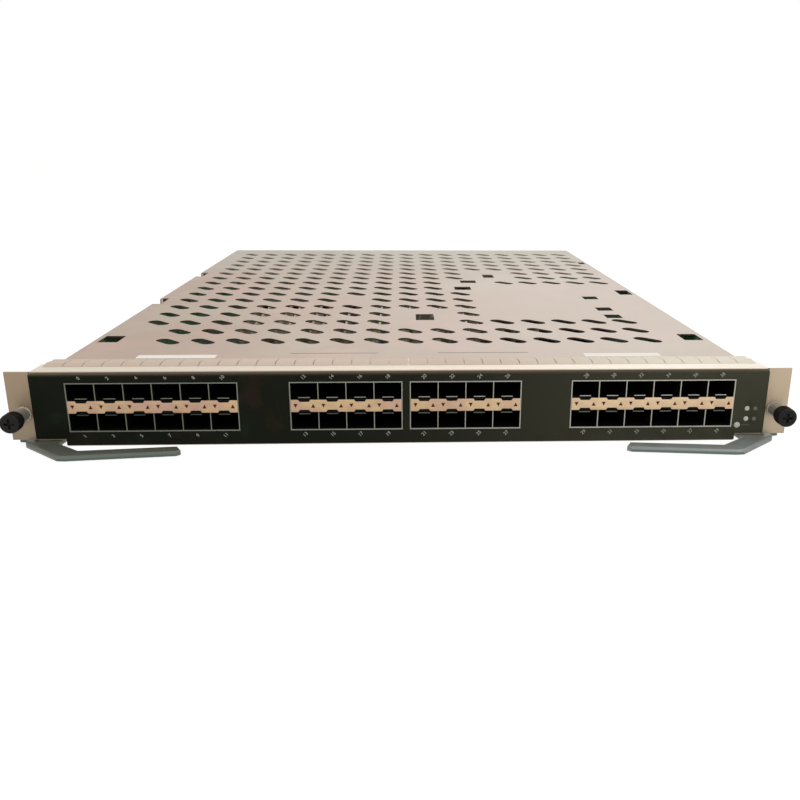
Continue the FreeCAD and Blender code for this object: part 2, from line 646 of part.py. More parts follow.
def makeCaptiveScrew(name, sign):
    """Knurled knob, screw and return spring of one thumbscrew."""
    threadFront = ferruleRear + d.neck_gap
    boreEnd = knobRear - d.knob_bore_depth
    seat = boreEnd - d.screw_seat
    screw = newBody("captive_screw_" + name)
    pad(screw, "front", seat, threadFront - seat, [ring(0, 0, d.neck_radius)])
    pad(screw, "front", threadFront, d.thread_length, [(0, 0, d.thread_radius)])
    knob = newBody("screw_knob_" + name)
    pad(knob, "front", knobFront, d.knob_length, [knurl()])
    cut(knob, "front", boreEnd, d.knob_bore_depth + 1, [ring(0, 0, d.ferrule_radius + d.screw_gap)])
    cut(knob, "front", seat, d.screw_seat + 1, [ring(0, 0, d.neck_radius)])
    wide = d.recess_width / 2
    span = d.recess_span / 2
    cross = [(wide, wide), (wide, span), (-wide, span), (-wide, wide), (-span, wide), (-span, -wide),
             (-wide, -wide), (-wide, -span), (wide, -span), (wide, -wide), (span, -wide), (span, wide)]
    cut(knob, "front", knobFront - 1, d.recess_depth + 1, [cross])
    for body in (screw, knob):
        place(body, sign * screwAcross, 0, d.screw_rise)
    makeSpring(name, sign, boreEnd + d.spring_end, ferruleRear - d.ferrule_wall - d.spring_end)


def knurl():
    """Outline of a knob, in and out by the knurl's depth."""
    count = 2 * int(float(d.knurl_count))
    corners = []
    for i in range(count):
        radius = d.knob_radius - (i % 2) * d.knurl_depth
        angle = 2 * math.pi * i / count
        corners.append((radius * math.cos(angle), radius * math.sin(angle)))
    return corners


def makeSpring(name, sign, front, rear):
    """Coil spring of square wire: sections that climb round the screw, with flat facets between them."""
    stepsPerTurn = 6
    steps = stepsPerTurn * int(float(d.spring_turns))
    wire = float(d.spring_wire) / 2
    run = float(rear) - float(front) - 2 * wire
    sections = []
    for i in range(steps + 1):
        angle = 2 * math.pi * i / stepsPerTurn
        along = float(front) + wire + run * i / steps
        corners = []
        for radial, axial in ((-wire, -wire), (wire, -wire), (wire, wire), (-wire, wire)):
            reach = float(d.spring_radius) + radial
            corners.append(FreeCAD.Vector(reach * math.cos(angle), along + axial, reach * math.sin(angle)))
        sections.append(corners)
    outlines = [sections[0], sections[-1]]
    for one, two in zip(sections, sections[1:]):
        for k in range(4):
            after = (k + 1) % 4
            outlines += [[one[k], one[after], two[after]], [one[k], two[after], two[k]]]
    faces = [Part.Face(Part.makePolygon(corners + corners[:1])) for corners in outlines]
    coil = doc.addObject("Part::Feature", "screw_spring_" + name)
    coil.Label = "screw_spring_" + name
    coil.Shape = Part.Solid(Part.Shell(faces))
    place(coil, sign * screwAcross, 0, d.screw_rise)
    subParts.append(coil)


def makeLever(name, sign):
    """Ejector lever cut from plate: grip arm, elbow, pivot eye and a forked claw for the shelf rail."""
    body = newBody("ejector_lever_" + name)
    reach = -d.lever_reach
    grip = -d.lever_tip_reach
    tip = pivotAcross - d.lever_arm
    bend = pivotAcross - d.lever_bend
    root = pivotAcross - d.lever_root
    outer = pivotAcross + d.lever_outer
    rail = d.pivot_depth - d.claw_slot
    claw = pivotAcross + d.claw_reach
    throat = pivotAcross + d.claw_reach / 2
    inner = pivotAcross - d.pivot_boss
    rear = d.pivot_depth + d.pivot_boss
    outline = [(tip + 3.2, grip + d.grip_width), (tip, grip + 2), (tip + 2, grip), (bend - 2, reach),
               (bend + 2, reach + 0.4), (outer - 1, -3), (outer, -1), (outer, rail - 4), (claw, rail - 3),
               (claw, rail), (throat, rail), (throat, rail + d.claw_slot), (claw - 1, rail + d.claw_slot),
               (claw - 2, rail + d.claw_slot + 3), (pivotAcross + 4, rear), (pivotAcross - 3.4, rear),
               (inner, d.pivot_depth + 3.4), (inner, d.pivot_depth - 8), (inner + 0.8, -3),
               (root, reach + d.lever_root_width)]
    plate = pad(body, "level", d.lever_rise, d.lever_gauge, [mirrored(outline, sign)])
    easeEdges(body, plate, "Chamfer", d.grip_chamfer, isGripFront)
    hole = (sign * pivotAcross, d.pivot_depth, d.pivot_radius + d.pivot_play)
    cut(body, "level", d.lever_rise - 1, d.lever_gauge + 2, [hole])
    sink = ring(sign * pivotAcross, d.pivot_depth, d.pivot_head + d.pivot_head_gap)
    cut(body, "level", d.lever_rise - 1, d.pivot_head_height + d.pivot_head_gap + 1, [sink])


def isGripFront(edge):
    """Whether an edge of the lever's plate runs along the top of its front."""
    box = edge.BoundBox
    return box.ZMin > float(leverTop) - 0.001 and box.YMin < 2 - float(d.lever_reach)


def makeLeverMounts():
    """Brackets behind the faceplate and the headed studs that the levers turn on."""
    for name, sign in SIDES:
        body = newBody("lever_bracket_" + name)
        foot = rectangle(sign * (pivotAcross - d.bracket_inner), sign * (pivotAcross + d.bracket_outer),
                         d.panel_gauge, d.bracket_depth)
        pad(body, "level", bracketFloor, d.bracket_gauge,
            [foot, ring(sign * pivotAcross, d.pivot_depth, d.pivot_neck)])
        upright = rectangle(sign * (pivotAcross - d.bracket_upright), sign * notchOuter,
                            bracketFloor + d.bracket_gauge, bracketFloor + d.bracket_height)
        pad(body, "front", d.panel_gauge, d.bracket_gauge, [upright])
    body = newBody("lever_pivots")
    headHigh = d.lever_rise + d.pivot_head_height
    pad(body, "level", d.lever_rise, d.pivot_head_height, eachSide(pivotAcross, d.pivot_depth, d.pivot_head))
    pad(body, "level", headHigh, bracketFloor - headHigh,
        [(sign * pivotAcross, d.pivot_depth, d.pivot_radius) for name, sign in SIDES])
    pad(body, "level", bracketFloor, d.bracket_gauge, eachSide(pivotAcross, d.pivot_depth, d.pivot_neck))


def makeHeatSinks():
    """Two switching chips and the finned heat sinks on them."""
    chips = newBody("switch_chips")
    chip = d.chip_size / 2
    pad(chips, "level", boardTop, d.chip_height,
        [rectangle(x - chip, x + chip, d.chip_depth - chip, d.chip_depth + chip)
         for x in (d.chip_left, d.chip_right)])
    low = boardTop + d.chip_height
    for name, centre in (("left", d.chip_left), ("right", d.chip_right)):
        body = newBody("heat_sink_" + name)
        left = centre - d.sink_size / 2
        pitch = (d.sink_size - d.fin_gauge) / (d.sink_fins - 1)
        front = d.chip_depth - d.sink_size / 2
        pad(body, "front", front, d.sink_size, [rectangle(left, left + d.sink_size, low, low + d.sink_base)])
        fin = pad(body, "front", front, d.sink_size,
                  [rectangle(left, left + d.fin_gauge, low + d.sink_base, low + d.sink_height)])
        repeat(body, [fin], d.sink_fins, pitch)


def makePowerParts():
    """Converter bricks beside the right heat sink, with chokes and capacitors behind them."""
    bricks = newBody("power_modules")
    left = d.chip_right + d.sink_size / 2 + d.brick_gap
    right = left + d.brick_width
    deep = d.brick_length / 2
    pad(bricks, "level", boardTop, d.brick_height,
        [rectangle(left, right, y - deep, y + deep) for y in (d.brick_depth, d.brick_depth + d.brick_pitch)])
    chokes = newBody("power_chokes")
    size = d.coil_size / 2
    bevel = size - d.coil_chamfer
    x = left + size
    y = d.brick_depth + d.brick_pitch + deep + d.coil_gap + size
    corners = [(size, bevel), (bevel, size), (-bevel, size), (-size, bevel), (-size, -bevel),
               (-bevel, -size), (bevel, -size), (size, -bevel)]
    choke = pad(chokes, "level", boardTop, d.coil_height, [[(x + dx, y + dy) for dx, dy in corners]])
    repeat(chokes, [choke], 4, (d.brick_width - d.coil_size) / 3)
    cans = newBody("power_capacitors")
    front = y + size + d.can_gap
    can = pad(cans, "level", boardTop, d.can_height,
              [rectangle(left, left + d.can_width, front, front + d.can_length)])
    repeat(cans, [can], 5, (d.brick_width - d.can_width) / 4)


def makeRiser():
    """Processor daughter board on four spacers above the main board."""
    x = d.riser_across
    y = d.riser_depth
    wide = d.riser_width / 2
    deep = d.riser_length / 2
    board = newBody("processor_board")
    outline = rectangle(x - wide, x + wide, y - deep, y + deep)
    pad(board, "level", boardTop + d.riser_lift, d.riser_gauge, [outline])
    spacers = newBody("processor_spacers")
    inset = d.riser_inset
    post = pad(spacers, "level", boardTop, d.riser_lift,
               [ring(x - wide + inset, y - deep + inset, d.post_size / 2, 6)])
    repeat(spacers, [post], 2, d.riser_width - 2 * inset, "X_Axis", 2, d.riser_length - 2 * inset)


def makeBackplaneEnd():
    """Plug blocks and guide sockets along the rear edge of the board."""
    plugs = newBody("backplane_plugs")
    pitch = (2 * guideAcross - d.guide_width) / 4
    wide = pitch - d.plug_gap
    left = -1.5 * pitch - wide / 2
    plug = pad(plugs, "front", d.plug_rear - d.plug_length, d.plug_length,
               [rectangle(left, left + wide, boardTop, boardTop + d.plug_height)])
    repeat(plugs, [plug], 4, pitch)
    step = (wide - d.plug_rib) / d.plug_grooves
    groove = cut(plugs, "front", d.plug_rear - d.plug_groove_depth, d.plug_groove_depth + 1,
                 [rectangle(left + d.plug_rib, left + step, boardTop + d.plug_rib,
                            boardTop + d.plug_height - d.plug_rib)])
    repeat(plugs, [groove], d.plug_grooves, step, "X_Axis", 4, pitch, "X_Axis")
    guides = newBody("guide_sockets")
    reach = d.guide_width / 2
    middle = boardTop + d.plug_height / 2
    outlines = [rectangle(sign * guideAcross - reach, sign * guideAcross + reach, boardTop,
                          boardTop + d.plug_height) for name, sign in SIDES]
    pad(guides, "front", d.plug_rear - d.plug_length, d.plug_length, outlines)
    cut(guides, "front", d.plug_rear - d.guide_bore_depth, d.guide_bore_depth + 1,
        [(sign * guideAcross, middle, d.guide_bore) for name, sign in SIDES])


def checkModel():
    """Stop if any object failed or any sub-part has no sound shape."""
    for thing in doc.Objects:
        if "Invalid" in thing.State or "Error" in thing.State:
            raise RuntimeError(f"{thing.Label}: {thing.State}")
    for thing in subParts:
        if thing.Shape.isNull() or not thing.Shape.isValid() or not thing.Shape.Solids:
            raise RuntimeError(f"{thing.Label}: no sound shape")


makeFaceplate()
makeFilm()
makeStatusLights()
makeFingerStrips()
makeCover()
makeCoverScrews()
makeTray()
makeBoard()
makeStandoffs()
for number, centre, columns in CAGES:
    makeCage(number, centre, columns)
    makeSeparators(number, centre, columns)
    makeCentreStrip(number, centre, columns)
makeLightPipes()
makePortConnectors()
makeFerrules()
for name, sign in SIDES:
    makeCaptiveScrew(name, sign)
    makeLever(name, sign)
makeLeverMounts()
makeHeatSinks()
makePowerParts()
makeRiser()
makeBackplaneEnd()

doc.recompute()
checkModel()
os.makedirs("parts", exist_ok=True)
for thing in subParts:
    thing.Shape.exportStep(f"parts/{thing.Label}.step")
    print(f"{thing.Label}: {len(thing.Shape.Solids)} solids, {thing.Shape.Volume / 1000:.2f} cm3")
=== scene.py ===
import json
import math
import bmesh
import bpy
from mathutils import Matrix, Vector

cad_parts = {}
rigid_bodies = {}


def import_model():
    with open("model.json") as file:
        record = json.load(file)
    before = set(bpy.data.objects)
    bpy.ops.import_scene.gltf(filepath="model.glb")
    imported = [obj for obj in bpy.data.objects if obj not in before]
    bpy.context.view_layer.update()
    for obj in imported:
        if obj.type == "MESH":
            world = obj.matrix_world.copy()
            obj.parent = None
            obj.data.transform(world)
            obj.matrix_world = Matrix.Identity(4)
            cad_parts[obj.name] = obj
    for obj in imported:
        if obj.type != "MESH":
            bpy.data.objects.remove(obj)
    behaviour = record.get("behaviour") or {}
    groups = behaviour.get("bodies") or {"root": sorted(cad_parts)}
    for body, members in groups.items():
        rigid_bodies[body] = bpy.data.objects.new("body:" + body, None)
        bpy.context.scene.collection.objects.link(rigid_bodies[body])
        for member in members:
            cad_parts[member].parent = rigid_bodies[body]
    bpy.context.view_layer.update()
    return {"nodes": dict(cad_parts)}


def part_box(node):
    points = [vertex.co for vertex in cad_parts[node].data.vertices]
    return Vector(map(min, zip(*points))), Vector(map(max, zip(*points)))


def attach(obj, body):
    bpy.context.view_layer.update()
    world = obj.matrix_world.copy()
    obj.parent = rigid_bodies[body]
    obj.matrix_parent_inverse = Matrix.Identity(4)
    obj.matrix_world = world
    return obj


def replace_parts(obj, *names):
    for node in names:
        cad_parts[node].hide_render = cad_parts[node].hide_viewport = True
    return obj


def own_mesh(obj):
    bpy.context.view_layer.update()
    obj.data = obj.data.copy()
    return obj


for thing in list(bpy.data.objects):
    bpy.data.objects.remove(thing)
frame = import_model()
mm = 0.001

# Places in the shared frame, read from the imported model.
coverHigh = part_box("top_cover")[1]
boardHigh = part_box("main_board")[1]
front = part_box("faceplate")[0].y
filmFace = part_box("front_film")[0].y
banks = (1, 2, 3, 4)
weld = 0.000002


def tone(red, green, blue):
    # A colour given as display values from 0 to 255, turned into scene-linear ones.
    linear = []
    for part in (red, green, blue):
        share = part / 255
        linear.append(share / 12.92 if share < 0.04045 else ((share + 0.055) / 1.055) ** 2.4)
    return (*linear, 1.0)


def makeNode(tree, kind, settings=None, sockets=None, output=0):
    # Every node is made here: its type, its settings, then its sockets' values or links.
    node = tree.nodes.new(kind)
    for key, value in (settings or {}).items():
        setattr(node, key, value)
    for key, value in (sockets or {}).items():
        for single in value if isinstance(value, list) else [value]:
            if isinstance(single, Wire):
                tree.links.new(single.socket, node.inputs[key])
            else:
                node.inputs[key].default_value = single
    return Wire(tree, node.outputs[output]) if node.outputs else None


class Wire:
    # One value on its way through a node tree, with ordinary arithmetic.
    def __init__(self, tree, socket):
        self.tree = tree
        self.socket = socket

    def maths(self, operation, *values):
        return makeNode(self.tree, "ShaderNodeMath", {"operation": operation}, dict(enumerate(values)))

    def __add__(self, other):
        return self.maths("ADD", self, other)

    def __radd__(self, other):
        return self.maths("ADD", other, self)

    def __sub__(self, other):
        return self.maths("SUBTRACT", self, other)

    def __rsub__(self, other):
        return self.maths("SUBTRACT", other, self)

    def __mul__(self, other):
        return self.maths("MULTIPLY", self, other)

    def __rmul__(self, other):
        return self.maths("MULTIPLY", other, self)

    def __abs__(self):
        return self.maths("ABSOLUTE", self)

    def wave(self):
        return self.maths("SINE", self)

    def larger(self, other):
        return self.maths("MAXIMUM", self, other)

    def folded(self, length):
        return self.maths("PINGPONG", self, length)

    def ramp(self, low, high):
        # 0 at low and 1 at high, with a soft start and end.
        return makeNode(self.tree, "ShaderNodeMapRange", {"interpolation_type": "SMOOTHSTEP"},
                        {"Value": self, "From Min": low, "From Max": high})


class Shade:
    # One procedural material, built up layer by layer.
    def __init__(self, name, colour, roughness, metallic=0.0, specular=0.5):
        self.material = bpy.data.materials.new(name)
        self.material.use_nodes = True
        self.tree = self.material.node_tree
        self.surface = self.tree.nodes["Principled BSDF"]
        self.surface.inputs["Metallic"].default_value = metallic
        self.surface.inputs["Specular IOR Level"].default_value = specular
        self.surface.inputs["Roughness"].default_value = roughness
        self.surface.inputs["Base Color"].default_value = colour
        self.colour = colour
        self.relief = None

    def node(self, kind, settings=None, sockets=None, output=0):
        return makeNode(self.tree, "ShaderNode" + kind, settings, sockets, output)

    def place(self, stretch=(1, 1, 1)):
        spot = self.node("TexCoord", output="Object")
        return self.node("Mapping", None, {"Vector": spot, "Scale": stretch})

    def axis(self, name):
        return self.node("SeparateXYZ", None, {"Vector": self.place()}, name)

    def facing(self, name):
        # How far the surface faces along one axis, from -1 to 1.
        normal = self.node("NewGeometry", output="Normal")
        return self.node("SeparateXYZ", None, {"Vector": normal}, name)

    def noise(self, size, detail, stretch=(1, 1, 1)):
        sockets = {"Vector": self.place(stretch), "Scale": 1 / size, "Detail": detail}
        return self.node("TexNoise", None, sockets)

    def cells(self, size, output="Distance"):
        return self.node("TexVoronoi", None, {"Vector": self.place(), "Scale": 1 / size}, output)

    def mix(self, share, first, second):
        return self.node("Mix", {"data_type": "RGBA"}, {0: share, 6: first, 7: second}, 2)

    def tint(self, share, second):
        self.colour = self.mix(share, self.colour, second)
        self.tree.links.new(self.colour.socket, self.surface.inputs["Base Color"])
        return self

    def rough(self, wire):
        self.tree.links.new(wire.socket, self.surface.inputs["Roughness"])
        return self

    def raised(self, wire, depth):
        sockets = {"Height": wire, "Distance": depth, "Strength": 1.0}
        if self.relief:
            sockets["Normal"] = self.relief
        self.relief = self.node("Bump", None, sockets)
        self.tree.links.new(self.relief.socket, self.surface.inputs["Normal"])
        return self

    def worn(self, radius, colour, strength):
        # Edges made lighter in patches, partly as rubbed wear and partly as a painted highlight, found where
        # a rounded normal leaves the true one.
        soft = self.node("Bevel", {"samples": 4}, {"Radius": radius})
        sharp = self.node("NewGeometry", output="Normal")
        same = self.node("VectorMath", {"operation": "DOT_PRODUCT"}, {0: soft, 1: sharp}, "Value")
        patchy = self.noise(0.004, 2).ramp(0.35, 0.6)
        return self.tint((1 - same).ramp(0.02, 0.25) * patchy * strength, colour)


def sheetMetal(name, colour, dark, metallic, roughness, along=(1, 1, 1)):
    shade = Shade(name, colour, roughness, metallic)
    cloud = shade.noise(0.09, 3)
    grain = shade.noise(0.0011, 2, along)
    shade.tint(cloud.ramp(0.3, 0.75) * 0.35, dark)
    shade.tint(grain.ramp(0.35, 0.8) * 0.18, dark)
    shade.rough(roughness - 0.08 + 0.16 * cloud + 0.1 * shade.noise(0.0024, 4))
    return shade.raised(grain, 0.00003)


def moulded(name, colour, roughness, pale, grain, specular=0.5):
    shade = Shade(name, colour, roughness, 0.0, specular)
    fine = shade.noise(grain, 3)
    broad = shade.noise(0.03, 2)
    shade.tint(broad.ramp(0.35, 0.7) * 0.25, pale)
    shade.rough(roughness - 0.06 + 0.12 * fine + 0.08 * broad)
    return shade.raised(fine, 0.00002)


def coverMaterial():
    # Passivated sheet with a faint pink and green bloom, painted lighter towards the right as painted light
    # and greyer towards the rear; its punched edges are painted dark as painted shade, less so at the rear.
    shade = sheetMetal("CoverSheet", tone(181, 160, 144), tone(164, 144, 128), 0.2, 0.48)
    bloom = shade.noise(0.05, 2)
    shade.tint(bloom.ramp(0.5, 0.66) * 0.4, tone(200, 164, 152))
    shade.tint((1 - bloom.ramp(0.34, 0.5)) * 0.3, tone(182, 178, 156))
    # Painted light: the sheet is lighter towards the right, where the light is stronger.
    shade.tint(shade.axis("X").ramp(-0.16, 0.16) * 0.65, tone(216, 205, 195))
    shade.tint(shade.axis("Y").ramp(0.0, 0.26) * 0.6, tone(176, 175, 162))
    shade.raised(shade.noise(0.16, 1), 0.0012)
    shade.worn(0.0003, tone(228, 218, 206), 0.4)
    # Painted shade on the punched slot walls, lighter towards the rear.
    punched = (1 - abs(shade.facing("Z"))).ramp(0.75, 0.95)
    edge = shade.mix(shade.axis("Y").ramp(-0.02, 0.2), tone(66, 52, 42), tone(190, 182, 166))
    betweenFolds = 1 - abs(shade.axis("X")).ramp(0.178, 0.179)
    return shade.tint(punched * betweenFolds, edge)


def plateMaterial():
    # Plating with painted light: upward faces are painted lighter, the upper band lighter still towards the
    # right, and the right ear lighter; duller towards the bottom.
    shade = sheetMetal("PlateSheet", tone(168, 147, 122), tone(134, 118, 96), 0.4, 0.4, (14, 14, 0.5))
    # Painted light: faces turned upwards are painted lighter.
    upper = shade.facing("Z").ramp(0.7, 0.95)
    shade.tint(upper * 0.85, tone(236, 224, 208))
    shade.tint(shade.axis("Z").ramp(0.040, 0.004) * 0.35, tone(140, 130, 112))
    # Painted light: the right end and its ear are painted lighter.
    shade.tint(shade.axis("X").ramp(0.17, 0.19) * 0.6, tone(220, 200, 172))
    # The lip just over the film lies in shade, as far as the film goes.
    lip = shade.axis("Z").ramp(0.0372, 0.0376) * (0 - shade.facing("Y")).ramp(0.5, 0.9)
    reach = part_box("front_film")[1].x
    shade.tint(lip * (1 - abs(shade.axis("X")).ramp(reach - 0.5 * mm, reach)) * 0.95, tone(70, 60, 46))
    # Painted light: the upper band is painted lighter still towards the right.
    shade.tint(shade.axis("X").ramp(0.0, 0.16) * upper * 0.8, tone(252, 244, 230))
    return shade.worn(0.0004, tone(238, 230, 218), 0.7)


def filmMaterial():
    # Dark printed film, a little greyer towards the right as a painted sheen.
    shade = moulded("DarkFilm", tone(17, 20, 11), 0.55, tone(25, 26, 16), 0.0004, 0.08)
    # Painted sheen: greyer towards the right.
    shade.tint(shade.axis("X").ramp(-0.06, 0.19) * 0.85, tone(74, 74, 61))
    shade.tint(shade.axis("Z").ramp(0.0362, 0.0376) * 0.6, tone(84, 76, 60))
    stain = shade.noise(0.014, 3)
    shade.tint(stain.ramp(0.55, 0.72) * 0.3, tone(52, 38, 25))
    return shade.tint((1 - stain.ramp(0.3, 0.42)) * 0.3, tone(30, 46, 28))


def fingerMaterial():
    shade = sheetMetal("FingerStrip", tone(204, 184, 166), tone(190, 176, 156), 0.15, 0.52, (1, 20, 1))
    # Painted light: lighter towards the right.
    shade.tint(shade.axis("X").ramp(0.02, 0.17) * 0.8, tone(232, 226, 210))
    return shade.worn(0.0002, tone(240, 230, 220), 0.4)


def cageMaterial(name, faint=0.0):
    # Painted shade: black inside, with bare bright edges round the openings. Faint, when it isn't 0, keeps
    # the bright edge to the tips of the latches, and is the strength of the lower ones, which are painted
    # dimmer as painted shade.
    shade = Shade(name, tone(10, 10, 9), 0.5, 0.0, 0.15)
    grain = shade.noise(0.0009, 3, (1, 0.2, 1))
    shade.tint(grain.ramp(0.4, 0.7) * 0.4, tone(19, 18, 15))
    rim = 1 - shade.axis("Y").ramp(front - 0.0003, front + 0.0003)
    if faint:
        low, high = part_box("port_separators_1")
        height, tip, blur = shade.axis("Z"), 0.5 * mm, 0.7 * mm
        rim = rim * (height.ramp(high.z - blur, high.z - tip)
                     + (1 - height.ramp(low.z + tip, low.z + blur)) * faint)
    # Painted light: the bright edges are lighter towards the right.
    bright = shade.mix(shade.axis("X").ramp(-0.14, 0.17), tone(136, 142, 130), tone(226, 222, 210))
    shade.tint(rim * (0.7 + 0.3 * grain), bright)
    shade.rough(0.38 + 0.25 * grain)
    return shade.raised(grain, 0.00002)


def warmStripMaterial():
    shade = Shade("WarmStrip", tone(212, 176, 140), 0.5, 0.1)
    patch = shade.noise(0.012, 2)
    shade.tint(patch.ramp(0.45, 0.62) * 0.7, tone(206, 166, 146))
    shade.tint((1 - patch.ramp(0.38, 0.5)) * 0.5, tone(220, 196, 142))
    # Painted light: lighter towards the right.
    shade.tint(shade.axis("X").ramp(-0.02, 0.15) * 0.7, tone(255, 224, 184))
    grain = shade.noise(0.0008, 3, (0.2, 1, 1))
    shade.rough(0.38 + 0.2 * grain)
    shade.raised(grain, 0.00002)
    return shade.worn(0.0002, tone(246, 224, 200), 0.5)


def boardMaterial():
    # Solder mask over copper: parallel tracks, pads and via rings, browned by heat.
    shade = Shade("BoardMask", tone(38, 70, 44), 0.4)
    level = shade.node("SeparateXYZ", None, {"Vector": shade.cells(0.03, "Color")}, "X")
    pick = level.ramp(0.48, 0.52)
    # A track every 1.2 mm.
    trackWave = 5236
    lanes = (shade.axis("X") * trackWave).wave().ramp(0.3, 0.6)
    cross = (shade.axis("Y") * trackWave).wave().ramp(0.3, 0.6)
    copper = lanes * pick + cross * (1 - pick)
    shade.tint(copper * 0.5, tone(60, 104, 64))
    via = shade.cells(0.006).ramp(0.16, 0.12)
    shade.tint(via * 0.8, tone(150, 140, 96))
    shade.tint(shade.noise(0.05, 2).ramp(0.42, 0.6) * 0.6, tone(62, 50, 34))
    # Painted light: lighter green near both side edges, where light comes in through the cover's side
    # windows.
    shade.tint(abs(shade.axis("X")).ramp(0.158, 0.165) * 0.75, tone(96, 164, 112))
    shade.rough(0.34 + 0.2 * shade.noise(0.002, 2))
    return shade.raised(copper + via, 0.00004)


def trayMaterial():
    # Bare sheet with a ring pressed round each standoff, also used for the rear screen.
    shade = sheetMetal("TraySheet", tone(200, 184, 168), tone(178, 160, 144), 0.3, 0.45)
    low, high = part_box("board_standoffs")
    half, inset = 2.55 * mm, 3 * mm
    across = abs(shade.axis("X")).folded((high.x - inset) / 2)
    along = (shade.axis("Y") - low.y - half).folded((high.y - low.y - 2 * half) / 4)
    reach = shade.node("Math", {"operation": "SQRT"}, {0: across * across + along * along})
    ring = reach.ramp(3.0 * mm, 3.3 * mm) * (1 - reach.ramp(3.6 * mm, 3.9 * mm))
    under = (0 - shade.facing("Z")).ramp(0.8, 0.95)
    # Painted reflection: the inner faces of the side walls take up the board's green.
    wall = abs(shade.facing("X")).ramp(0.8, 0.95) * (1 - abs(shade.axis("X")).ramp(0.1794, 0.1799))
    shade.tint(wall * 0.8, tone(126, 206, 154))
    shade.tint(ring * under * 0.7, tone(110, 98, 84))
    return shade.raised(1 - ring * under, 0.0002)


def screwMaterial():
    shade = sheetMetal("ScrewSteel", tone(172, 164, 152), tone(128, 120, 108), 0.6, 0.32, (1, 18, 1))
    return shade.worn(0.0002, tone(240, 238, 232), 0.5)


def leverMaterial():
    # Nickel plate, dull and greenish at the left end and painted brighter at the right as painted light, with
    # painted shade on the front edge.
    shade = sheetMetal("LeverAlloy", tone(104, 108, 98), tone(78, 84, 74), 0.2, 0.36, (1, 1, 12))
    # Painted light: brighter towards the right.
    shade.tint(shade.axis("X").ramp(-0.02, 0.14) * 0.7, tone(158, 164, 162))
    shade.tint(shade.noise(0.02, 2).ramp(0.5, 0.7) * 0.25, tone(74, 104, 90))
    # Painted shade on the faces turned to the front.
    shade.tint((0 - shade.facing("Y")).ramp(0.6, 0.9) * 0.7, tone(74, 96, 92))
    return shade.worn(0.0006, tone(204, 216, 208), 1.6)


def sinkMaterial():
    # Partly the alloy's own pale grey, partly painted light: made paler because little light reaches the
    # sinks under the cover.
    shade = sheetMetal("SinkAlloy", tone(226, 222, 204), tone(194, 190, 172), 0.25, 0.45, (10, 0.5, 1))
    return shade.worn(0.0003, tone(236, 234, 224), 0.5)


def knobMaterial():
    shade = moulded("KnobBlack", tone(15, 14, 13), 0.45, tone(26, 24, 22), 0.0005, 0.2)
    return shade.worn(0.0002, tone(84, 80, 76), 0.5)


def labelMaterial():
    shade = Shade("LabelPaper", tone(246, 242, 236), 0.55)
    fibre = shade.noise(0.0012, 4)
    shade.tint(fibre.ramp(0.4, 0.75) * 0.2, tone(226, 218, 208))
    shade.rough(0.48 + 0.15 * fibre)
    return shade.raised(fibre, 0.00002)


def arrowMaterial():
    shade = moulded("ArrowLens", tone(84, 28, 10), 0.35, tone(100, 40, 20), 0.0006, 0.2)
    return shade.tint(shade.noise(0.004, 2).ramp(0.45, 0.65) * 0.4, tone(52, 20, 12))


print("materials")
cover = coverMaterial().material
plate = plateMaterial().material
film = filmMaterial().material
fingers = fingerMaterial().material
cage = cageMaterial("CageSteel").material
latch = cageMaterial("LatchSteel", 0.3).material
warmStrip = warmStripMaterial().material
board = boardMaterial().material
traySheet = trayMaterial().material
screwSteel = screwMaterial().material
leverAlloy = leverMaterial().material
sinkAlloy = sinkMaterial().material
knobBlack = knobMaterial().material
label = labelMaterial().material
arrowLens = arrowMaterial().material
numberInk = moulded("NumberInk", tone(158, 162, 150), 0.6, tone(132, 136, 124), 0.0007).material
markInk = moulded("MarkInk", tone(104, 106, 96), 0.6, tone(84, 86, 78), 0.0007).material
lampLens = moulded("LampLens", tone(206, 206, 194), 0.3, tone(176, 174, 162), 0.0006).material
blackPlastic = moulded("BlackPlastic", tone(20, 20, 19), 0.5, tone(33, 32, 30), 0.0008, 0.25).material
chipBlack = moulded("ChipBlack", tone(32, 32, 33), 0.6, tone(50, 50, 50), 0.0004, 0.3).material
chokeGrey = moulded("ChokeGrey", tone(74, 72, 70), 0.55, tone(104, 102, 98), 0.0006).material
smallBrown = moulded("SmallBrown", tone(150, 124, 96), 0.45, tone(112, 90, 68), 0.0004).material
goldPlate = sheetMetal("GoldPlate", tone(206, 168, 92), tone(170, 132, 66), 0.85, 0.3).material


def meshPiece(name, mesh, material, body="card"):
    piece = bpy.data.objects.new(name, mesh)
    bpy.context.scene.collection.objects.link(piece)
    mesh.materials.clear()
    mesh.materials.append(material)
    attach(piece, body)
    return piece


def settled(holder):
    # The evaluated mesh with every modifier in it; the holder then goes.
    bpy.context.scene.collection.objects.link(holder)
    graph = bpy.context.evaluated_depsgraph_get()
    mesh = bpy.data.meshes.new_from_object(holder.evaluated_get(graph))
    holder.modifiers.clear()
    bpy.data.objects.remove(holder)
    return mesh


def worked(change, *meshes):
    # The given meshes in one new mesh, after a change made with bmesh.
    work = bmesh.new()
    for mesh in meshes:
        work.from_mesh(mesh)
    change(work)
    made = bpy.data.meshes.new("Made")
    work.to_mesh(made)
    work.free()
    return made


def joined(meshes):
    return worked(lambda work: None, *meshes)


def outward(work):
    bmesh.ops.remove_doubles(work, verts=work.verts, dist=weld)
    bmesh.ops.recalc_face_normals(work, faces=work.faces)


